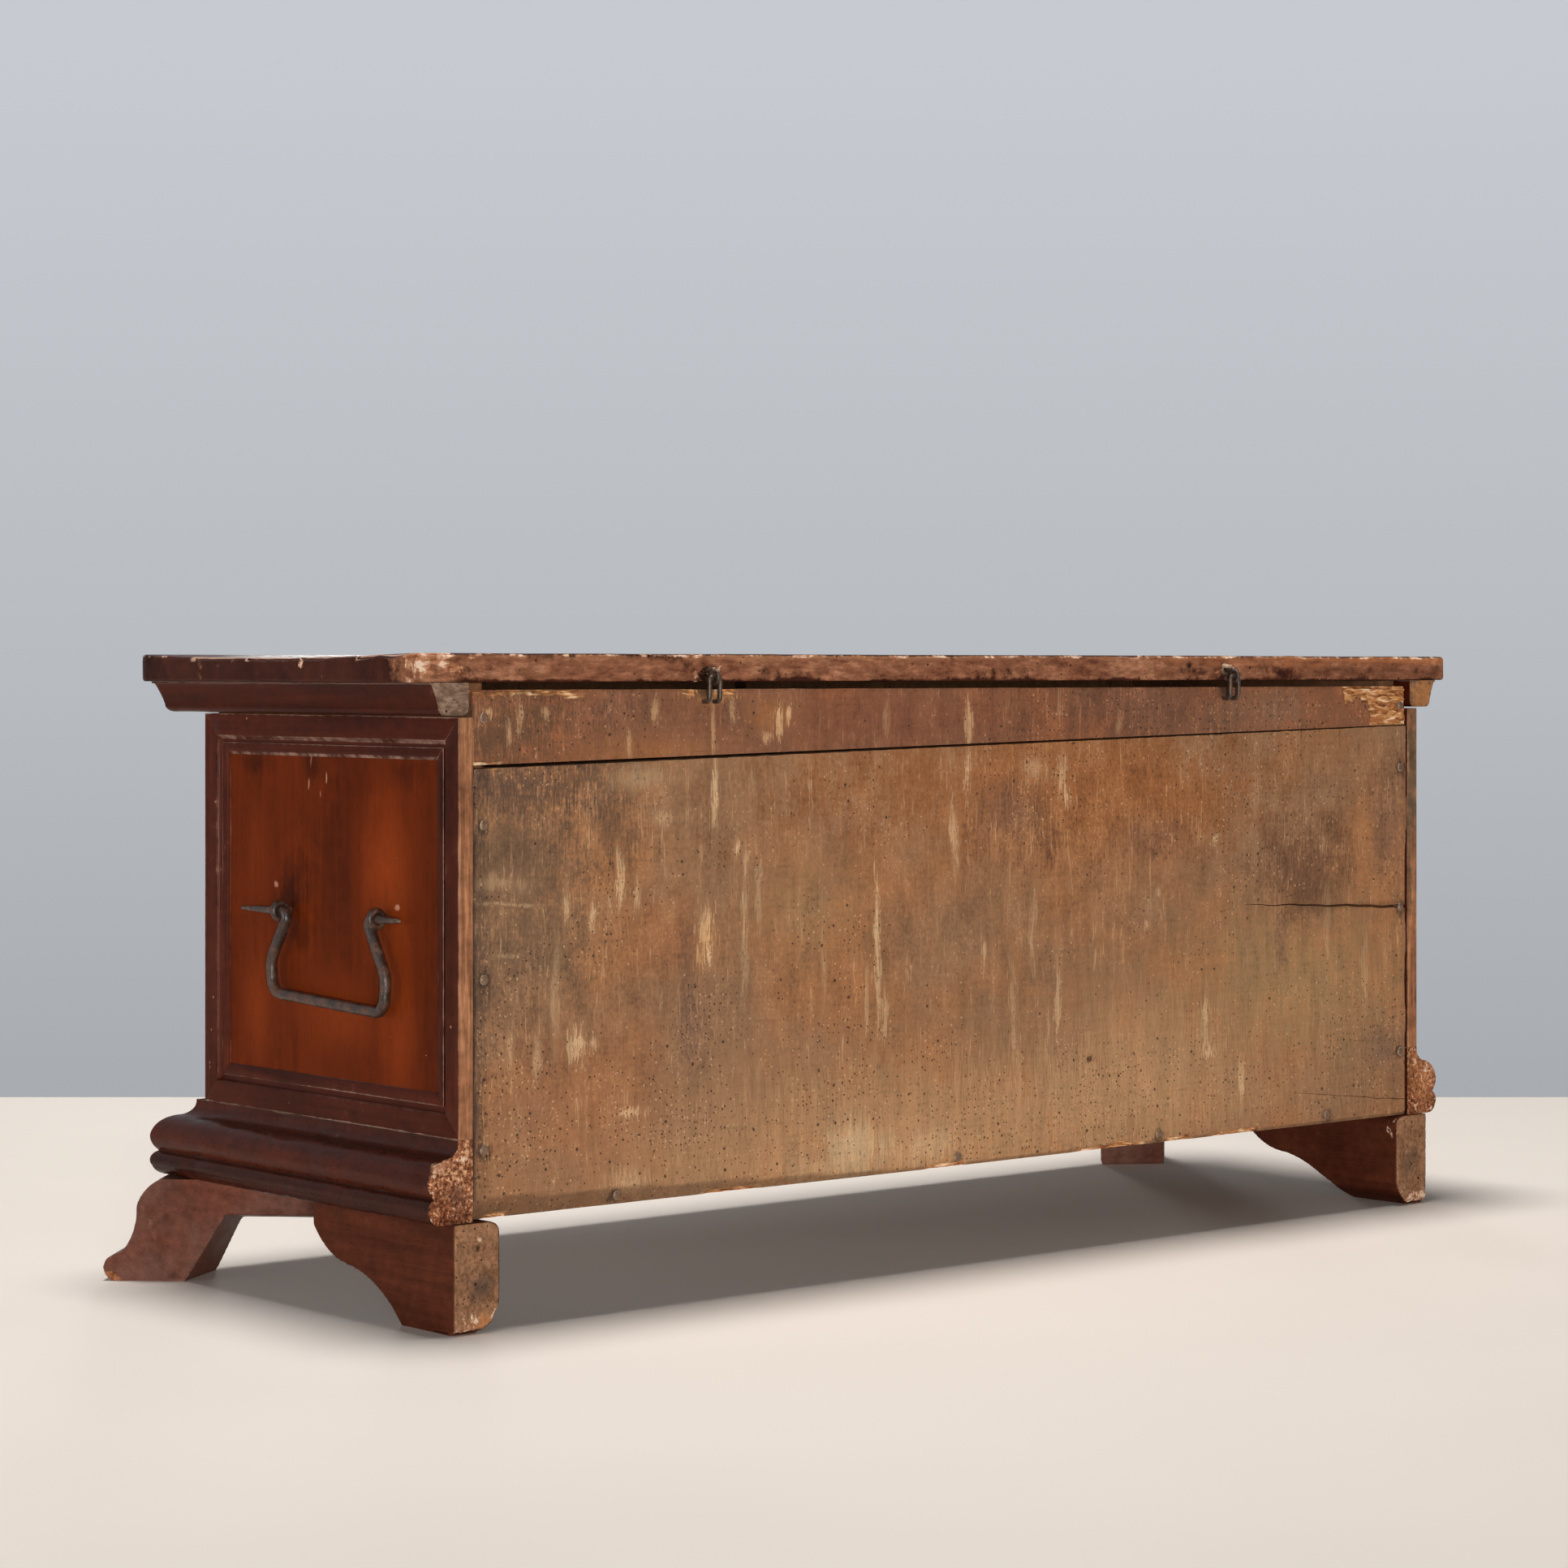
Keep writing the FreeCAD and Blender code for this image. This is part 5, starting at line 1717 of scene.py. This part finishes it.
        # Painted shade on the lower part of the base moulding's face.
        piece.mark("shade", lambda place, normal: 0.55 * rise(place.z, dark_top, dark_bottom)
                   if wear == 1.0 and normal.y < 0.5 else 0.0)
        piece.shape(eaten, Axis.Y.unit())
        piece.seat(finish)


@dataclass
class LidPlank:
    """The cupped plank of the lid, worn along its edges, split at one end and torn at its hinges."""

    finishes: Finishes
    cut: float = 12.0 * MM
    fine_cut: float = 3.0 * MM
    notch_y: float = 68.0 * MM
    notch_reach: float = 6.0 * MM
    notch_depth: float = 6.5 * MM
    corner_reach: float = 70.0 * MM
    corner_depth: float = 3.2 * MM
    torn_reach: float = 27.0 * MM
    torn_height: float = 15.0 * MM
    torn_depth: float = 3.4 * MM

    def build(self) -> None:
        """Makes the plank."""
        low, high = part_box("lid_plank")
        eyes = [sum(corner.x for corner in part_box(f"lid_eye_{side.value}")) / 2 for side in Side]
        piece = self.netted(low, high, eyes)

        def rim(place: Vector) -> float:
            """How near a place is to the plank's outer rim, from 0 to 1."""
            inset = min(place.x - low.x, high.x - place.x, high.y - place.y, place.y - low.y)
            return rise(inset, 7 * MM, 0.0)

        def corner(place: Vector) -> float:
            """How near a place is to the worn corner at the back, from 0 to 1.

            Args:
                place: The point.

            Returns:
                The share.
            """
            along = max(high.y - place.y, (high.x - place.x) * 0.7)
            ragged = along + 14 * MM * swell(place, 18 * MM, 41.0)
            return rise(ragged, self.corner_reach, 0.2 * self.corner_reach)

        def notch(place: Vector) -> float:
            """How deep a place lies in the notch of the end's edge, from 0 to 1."""
            wide = max(0.0, 1 - abs(place.y - self.notch_y) / self.notch_reach)
            return wide * rise(high.x - place.x, 2.4 * self.notch_reach, 0.0)

        def broken(place: Vector) -> float:
            """How freshly broken the corner at the back is at a place, from 0 to 1.

            Args:
                place: The point.

            Returns:
                The share.
            """
            if place.y < high.y - 14 * MM:
                return 0.0
            spot = math.hypot((high.x - place.x) / (72 * MM), (high.z - place.z) / (30 * MM))
            return rise(spot + 0.7 * swell(place, 9 * MM, 53.0), 1.0, 0.4)

        def torn(place: Vector) -> float:
            """How deep a place lies in the wood torn out round an eye, from 0 to 1.

            Args:
                place: The point.

            Returns:
                The share.
            """
            if place.y < high.y - 4 * MM:
                return 0.0
            most = 0.0
            tall = (place.z - low.z - 7 * MM) / self.torn_height
            for eye in eyes:
                spot = math.hypot((place.x - eye) / self.torn_reach, tall)
                most = max(most, rise(spot + 0.5 * swell(place, 9 * MM, 49.0), 1.0, 0.3))
            return most

        def down(place: Vector, normal: Vector) -> float:
            """How far a point of the top is worn down.

            Args:
                place: The point.
                normal: Its normal, which is not used.

            Returns:
                The distance in metres.
            """
            top = rise(place.z, low.z + 9 * MM, high.z - 3 * MM)
            if top <= 0.0:
                return 0.0
            dip = 0.35 * MM * (1 + swell(place, 110 * MM, 42.0))
            rough = 0.7 + 0.9 * swell(place, 22 * MM, 43.0) + 0.7 * swell(place, 7 * MM, 44.0)
            nibble = rim(place) * rough * MM
            ragged = 0.6 + 0.7 * swell(place, 10 * MM, 45.0)
            eaten = corner(place) * rim(place) * self.corner_depth * ragged
            return -top * (dip + nibble + eaten + notch(place) * self.notch_depth)

        def inward(place: Vector, normal: Vector) -> float:
            """How far a point of the side is worn in.

            Args:
                place: The point.
                normal: Its normal.

            Returns:
                The distance in metres.
            """
            if abs(normal.z) > 0.75 or rim(place) < 0.5:
                return 0.0
            rough = corner(place) * (1.2 + 1.4 * swell(place, 9 * MM, 46.0)) * MM
            top = rise(place.z, low.z + 10 * MM, high.z - 2 * MM)
            ragged = 1.0 + 1.4 * swell(Vector((place.x, place.y, place.z * 2)), 5 * MM, 50.0)
            return -((0.4 + 0.4 * swell(place, 34 * MM, 47.0)) * MM + rough + 1.4 * MM * notch(place) * top
                     + torn(place) * self.torn_depth * ragged)

        def bare(place: Vector, normal: Vector) -> float:
            """How bare of varnish a point is: all along the back edge, and at the worn corner.

            Args:
                place: The point.
                normal: Its normal.

            Returns:
                The share.
            """
            fibres = swell(Vector((place.x * 0.25, 0, place.z)), 18 * MM, 48.0)
            back = rise(place.y, high.y - 2 * MM, high.y - 1 * MM) * rise(normal.y, 0.3, 0.7)
            back *= 0.74 + 0.5 * fibres - 0.3 * rise(place.z, low.z + 6 * MM, low.z)
            return max(back, 0.7 * corner(place) * rim(place))

        def fresh(place: Vector, normal: Vector) -> float:
            """How freshly the wood is broken at a point, from 0 to 1, with a painted highlight line along
            the top rim.

            Args:
                place: The point.
                normal: Its normal, which is not used.

            Returns:
                The share.
            """
            notched = 0.9 * notch(place) * rise(place.z, low.z + 12 * MM, low.z + 18 * MM)
            ripped = 0.85 * torn(place) * rise(swell(place, 10 * MM, 52.0), -0.35, 0.1)
            front = 0.62 * rise(place.y, low.y + 46 * MM, low.y + 10 * MM) * rim(place)
            front *= rise(place.z, high.z - 12 * MM, high.z - 4 * MM)
            front *= rise(swell(place, 7 * MM, 55.0), -0.1, 0.3)
            # A pale line along the top rim is a painted highlight on the top arris.
            line = 0.54 + 0.25 * swell(Vector((place.x * 0.5, place.y * 0.5, 0)), 12 * MM, 54.0)
            line *= rim(place) * rise(place.z, high.z - 4 * MM, high.z - 0.6 * MM)
            return max(notched, ripped, 0.95 * broken(place), front, line)

        piece.mark_edges(20.0, 60.0)
        piece.mark("bare", bare).mark("fresh", fresh)
        # Painted shade in the middle of the wood torn out round each eye.
        piece.mark("shade", lambda place, normal: torn(place) * rise(
            min(math.hypot(place.x - eye, place.z - low.z - 4 * MM) for eye in eyes), 12 * MM, 5 * MM))
        piece.shape(inward)
        piece.shape(down, Axis.Z.unit())
        piece.seat(self.finishes.lid)

    def netted(self, low: Vector, high: Vector, eyes: Sequence[float]) -> Piece:
        """Cuts the plank into a net that is close along its rim, its notch and its eyes.

        Args:
            low: The plank's lowest corner.
            high: Its highest corner.
            eyes: Where the eyes lie along it.

        Returns:
            The plank's piece.
        """
        piece = Piece.copy_of("lid_plank")
        piece.slice(Axis.X, self.cut).slice(Axis.Y, self.cut)
        notch_shares = (-1, -0.6, -0.3, 0, 0.3, 0.6, 1)
        piece.cut(Axis.Y, [self.notch_y + share * self.notch_reach for share in notch_shares])
        for reach in (6.0 * MM, 3.0 * MM, 1.2 * MM):
            piece.cut(Axis.X, [high.x - reach, low.x + reach])
            piece.cut(Axis.Y, [high.y - reach, low.y + reach])
        count = round(self.torn_reach / self.fine_cut)
        for eye in eyes:
            piece.cut(Axis.X, [eye + self.fine_cut * (number + 0.3) for number in range(-count, count)])
        rows = 9
        return piece.cut(Axis.Z, [low.z + (high.z - low.z) * row / (rows + 0.5) for row in range(1, rows)])


@dataclass
class Feet:
    """The console feet in front and the bracket feet behind, carved and worm-eaten."""

    finishes: Finishes
    skin: float = 2.0 * MM
    hew: float = 17.0 * MM
    hew_depth: float = 2.5 * MM

    def build(self) -> None:
        """Makes the four feet."""
        for side in Side:
            self.rear(f"foot_rear_{side.value}")
            self.front(f"foot_front_{side.value}")

    def rear(self, node: str) -> None:
        """Makes a bracket foot, smooth at its side and raw behind.

        Args:
            node: The foot's node.
        """
        low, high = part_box(node)
        piece = Piece.copy_of(node).even_skin(self.skin, 2)
        outer = math.copysign(1.0, high.x)
        inner_face = min(abs(low.x), abs(high.x))

        def raw(place: Vector, normal: Vector) -> float:
            """How raw a point of the foot is, from 0 to 1."""
            ragged = 0.22 * swell(place, 8 * MM, 51.0)
            return rise(normal.y + ragged, 0.42, 0.58) * rise(place.y, high.y - 30 * MM, high.y - 22 * MM)

        def chipped(place: Vector, normal: Vector) -> float:
            """How freshly chipped a point is, from 0 to 1: at the heel and near the inner top.

            Args:
                place: The point.
                normal: Its normal.

            Returns:
                The share.
            """
            heel = 0.55 * raw(place, normal) * rise(place.z, low.z + 26 * MM, low.z + 10 * MM)
            inner = rise(normal.x * outer, 0.3, -0.2) * rise(place.y, high.y - 26 * MM, high.y - 8 * MM)
            torn = rise(swell(place, 6 * MM, 58.0), 0.0, 0.35)
            edge = rise(place.x * outer, inner_face + 7 * MM, inner_face + 3 * MM)
            return max(heel, 0.55 * inner * torn * edge * rise(place.z, high.z - 40 * MM, high.z - 20 * MM))

        def eaten(place: Vector, normal: Vector) -> float:
            """How far a point is worn or eaten in.

            Args:
                place: The point.
                normal: Its normal.

            Returns:
                The distance in metres.
            """
            if place.z > high.z - 0.5 * MM or place.z < low.z + 0.5 * MM:
                return 0.0
            pits = rise(swell(place, 4.5 * MM, 52.0), 0.1, 0.5)
            pits += 0.7 * rise(swell(place, 9 * MM, 53.0), 0.0, 0.5)
            skin = 0.25 * (1 + swell(place, 40 * MM, 54.0))
            ground = rise(place.z, low.z + 9 * MM, low.z)
            ground *= rise(place.y, high.y - 45 * MM, high.y - 10 * MM)
            return -(raw(place, normal) * (0.4 + 1.2 * pits) + skin
                     + ground * (1.2 + 1.5 * swell(place, 8 * MM, 55.0))) * MM

        piece.mark("bare", raw)
        piece.mark("fresh", chipped)
        piece.shape(eaten)
        piece.mark_edges(22.0, 70.0)
        piece.seat(self.finishes.rear_foot, 60.0)

    def front(self, node: str) -> None:
        """Makes a console foot, its cut sides rough from the gouge.

        Args:
            node: The foot's node.
        """
        low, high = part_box(node)
        across = Vector((math.copysign(1.0, high.x), 1.0, 0.0)).normalized()
        toe = max(abs(low.x), abs(high.x))
        piece = Piece.copy_of(node).even_skin(self.skin, 2)

        def hewn(place: Vector, normal: Vector) -> float:
            """How far a point is gouged in.

            Args:
                place: The point.
                normal: Its normal.

            Returns:
                The distance in metres.
            """
            if place.z > high.z - 0.5 * MM or place.z < low.z + 0.5 * MM:
                return 0.0
            flank = rise(abs(normal.dot(across)), 0.45, 0.8)
            bite = max(0.0, swell(place, 11 * MM, 60.0) - 0.15) * 1.8
            wear = 0.3 * (1 + swell(place, 30 * MM, 57.0))
            return -(flank * (self.hew_depth * scooped(place) + bite * MM) + wear * MM)

        def scooped(place: Vector) -> float:
            """How deep a place lies in the gouge's scoops.

            Args:
                place: The point.

            Returns:
                The depth, about 1 at most.
            """
            spot = place + Vector((5, 5, 5)) * MM * swell(place, 16 * MM, 59.0)
            distances, _ = noise.voronoi(Vector((spot.x, spot.y, spot.z * 0.8)) / self.hew)
            return max(0.0, 1.0 - (distances[0] / 0.8) ** 2) * (0.55 + 0.6 * swell(place, 40 * MM, 62.0))

        def painted_scoop_shade(place: Vector, normal: Vector) -> float:
            """How much painted shade a scoop holds, from 0 to 1, in place of the shading of the gouge's
            relief.
            """
            patch = rise(swell(place, 34 * MM, 64.0), -0.5, 0.2)
            return abs(normal.dot(across)) ** 3 * min(0.75, 0.75 * scooped(place)) * patch

        def painted_ridge_light_and_wear(place: Vector, normal: Vector) -> float:
            """How light the ridges between the scoops and the front's arrises are, from 0 to 1: painted
            highlight on the ridges, wear with painted highlight on the arrises.

            Args:
                place: The point.
                normal: Its normal.

            Returns:
                The share.
            """
            facing = abs(normal.dot(across))
            patch = rise(swell(place, 24 * MM, 63.0), -0.3, 0.3)
            ridge = 0.45 * facing ** 3 * rise(scooped(place), 0.16, 0.0) * patch
            return max(ridge, 0.8 * rise(facing, 0.80, 0.66) * rise(facing, 0.40, 0.60))

        # The scoops get painted shade and the ridges painted highlights, standing in for the gouge's
        # relief.
        piece.mark("hollow", painted_scoop_shade).mark("arris", painted_ridge_light_and_wear)
        piece.shape(hewn)
        piece.mark("bare", lambda place, normal: 0.66 * rise(place.z, low.z + 16 * MM, low.z + 5 * MM)
                   * rise(abs(place.x), toe - 22 * MM, toe - 6 * MM))
        piece.seat(self.finishes.front_foot, 60.0)


@dataclass
class Ironwork:
    """The forged handles, hinges and nails, and the lock."""

    finishes: Finishes
    bar_skin: float = 1.1 * MM
    wire_skin: float = 0.6 * MM
    nail_skin: float = 0.7 * MM

    def build(self) -> None:
        """Makes all the iron."""
        for side in Side:
            self.forged(f"bail_{side.value}", self.bar_skin, 0.60 * MM, self.finishes.iron, 1.0 * MM)
            self.forged(f"handle_staples_{side.value}", 0.8 * MM, 0.40 * MM, self.finishes.iron, 0.9 * MM)
            self.forged(f"hinge_staple_{side.value}", self.wire_skin, 0.25 * MM, self.finishes.wire)
            self.forged(f"lid_eye_{side.value}", self.wire_skin, 0.20 * MM, self.finishes.wire)
        self.forged("back_nails", self.nail_skin, 0.70 * MM, self.finishes.nails, 0.8 * MM)
        for node in ("keyhole_plate", "keyhole_pins", "lock_case", "lock_bolt", "lid_catch"):
            piece = Piece.copy_of(node).soften(0.35 * MM, 2, 40.0)
            piece.mark_edges()
            piece.seat(self.finishes.iron)

    @staticmethod
    def forged(node: str, skin: float, depth: float, finish: Material,
               swollen: float = 0.0) -> None:
        """Makes one forged piece, with hammered flats and an uneven section.

        Args:
            node: The piece's node.
            skin: The size of its skin's faces.
            depth: How far the hammer has driven it in.
            finish: Its finish.
            swollen: How far rust and the uneven bar stand out beyond it.
        """
        piece = Piece.copy_of(node).even_skin(skin, 1)

        def hammered(place: Vector, normal: Vector) -> float:
            """How far a point is driven in."""
            flats = noise.voronoi(place / (9 * MM))[0][0]
            return swollen - depth * (0.9 - flats + 0.5 * (1 + swell(place, 4 * MM, 61.0)))

        piece.shape(hammered)
        piece.mark_edges(30.0, 90.0)
        piece.seat(finish, 60.0)


@dataclass(frozen=True)
class Camera:
    """The photograph's camera, worked out from the chest's edges."""

    place: Triple = (2.6001, 2.9907, 0.5858)
    heading: float = 139.6
    lens: float = 87.36
    sensor: float = 36.0
    rise: float = -0.0723

    def forward(self) -> Vector:
        """The level direction in which it looks."""
        angle = math.radians(self.heading)
        return Vector((-math.sin(angle), math.cos(angle), 0.0))

    def build(self) -> None:
        """Sets the camera up, level, with the frame shifted down."""
        turn = (math.pi / 2, 0, math.radians(self.heading))
        bpy.ops.object.camera_add(location=self.place, rotation=turn)
        thing = bpy.context.object
        thing.name = "camera"
        thing.data.lens = self.lens
        thing.data.sensor_width = self.sensor
        thing.data.shift_y = self.rise
        bpy.context.scene.camera = thing


@dataclass(frozen=True)
class Lamp:
    """One soft lamp."""

    name: str
    place: Triple
    aim: Triple
    size: float
    power: float
    tint: Triple = (1.0, 1.0, 1.0)

    def build(self) -> None:
        """Hangs the lamp."""
        way = Vector(self.aim) - Vector(self.place)
        bpy.ops.object.light_add(type="AREA", location=self.place,
                                 rotation=way.to_track_quat("-Z", "Y").to_euler())
        lamp = bpy.context.object
        lamp.name = self.name
        lamp.data.shape = "DISK"
        lamp.data.size = self.size
        lamp.data.energy = self.power
        lamp.data.color = self.tint


@dataclass
class Studio:
    """The pale floor, the backdrop's colour and the lamps."""

    far_edge: float = 1.263
    reach: float = 9.0
    floor_pale: Colour = paint(236, 227, 218)
    floor_far: Colour = paint(230, 221, 212)
    wall_low: Colour = paint(168, 171, 176)
    wall_middle: Colour = paint(184, 188, 193)
    wall_high: Colour = paint(199, 202, 208)
    ambient: float = 0.07

    def build(self, camera: Camera) -> None:
        """Lays the floor and sets the light.

        Args:
            camera: The photograph's camera.
        """
        self.floor(camera)
        self.world()
        lamps = (
            Lamp("back_lamp", (5.6, 7.8, 0.7), (0.0, 0.0, 0.3), 1.3, 640.0, (1.0, 0.985, 0.96)),
            Lamp("top_lamp", (0.2, -0.3, 7.0), (0.0, 0.0, 0.3), 2.0, 420.0, (1.0, 0.99, 0.98)),
            Lamp("side_lamp", (8.0, -1.8, 0.9), (0.5, 0.0, 0.3), 1.4, 105.0, (1.0, 0.99, 0.98)),
            Lamp("front_lamp", (-4.5, -7.0, 0.9), (0.0, 0.0, 0.3), 1.4, 150.0, (1.0, 0.985, 0.96)))
        for lamp in lamps:
            lamp.build()

    def floor(self, camera: Camera) -> None:
        """Lays a wide floor whose far edge is the line behind the chest.

        Args:
            camera: The photograph's camera.
        """
        forward = camera.forward()
        middle = forward * (self.far_edge - self.reach)
        bpy.ops.mesh.primitive_grid_add(
            x_subdivisions=8, y_subdivisions=8, size=2 * self.reach, location=middle,
            rotation=(0, 0, math.radians(camera.heading)))
        floor = bpy.context.object
        floor.name = "studio_floor"
        g = Graph("studio_floor")
        clouds = g.cloud(0.7, 3.0)
        fine = g.cloud(60.0, 3.0)
        colour = g.mix(g.band(clouds, 0.3, 0.7), self.floor_far, self.floor_pale)
        g.finish(colour, g.band(fine, 0.3, 0.7, 0.80, 0.90), [(fine, 0.0001)], Specular_IOR_Level=0.1)
        floor.data.materials.append(g.material)

    def world(self) -> None:
        """Sets the backdrop that the camera sees and the even light that the chest gets."""
        world = bpy.data.worlds.new("studio")
        bpy.context.scene.world = world
        tree = Tree(world)
        split = tree.add("SeparateXYZ", {0: tree.add("TexCoord").outputs["Generated"]})
        ramp = tree.add("MapRange", {"From Min": -0.5, "From Max": 0.5, "Value": split.outputs["Z"]})
        tones = tree.add("ValToRGB", {"Fac": ramp.outputs["Result"]})
        stops = ((0.33, self.floor_pale), (0.36, self.wall_low), (0.39, self.wall_low),
                 (0.50, self.wall_middle), (0.66, self.wall_high))
        bands = tones.color_ramp.elements
        while len(bands) < len(stops):
            bands.new(0.5)
        for band, (place, tone) in zip(bands, stops):
            band.position = place
            band.color = tone
        seen = tree.add("Background", {"Color": tones.outputs["Color"]})
        light = tree.add("Background", {"Color": (1.0, 1.0, 1.0, 1.0), "Strength": self.ambient})
        path = tree.add("LightPath")
        rays = path.outputs["Is Camera Ray"]
        for kind in ("Is Transmission Ray", "Is Glossy Ray"):
            rays = tree.maths("MAXIMUM", rays, path.outputs[kind])
        mixed = tree.add("MixShader", {0: rays, 1: light.outputs[0], 2: seen.outputs[0]})
        tree.add("OutputWorld", {"Surface": mixed.outputs[0]})


def main() -> None:
    """Builds the chest's pieces in order, then the studio and the camera."""
    logging.basicConfig(level=logging.INFO, format="%(name)s: %(message)s")
    bpy.context.scene.view_settings.view_transform = "Standard"
    finishes = Finishes()
    for part in (BackBoards, Joinery, Mouldings, LidPlank, Feet, Ironwork):
        part(finishes).build()
        log.info("%s done", part.__name__)
    camera = Camera()
    Studio().build(camera)
    camera.build()


if __name__ == "__main__":
    main()
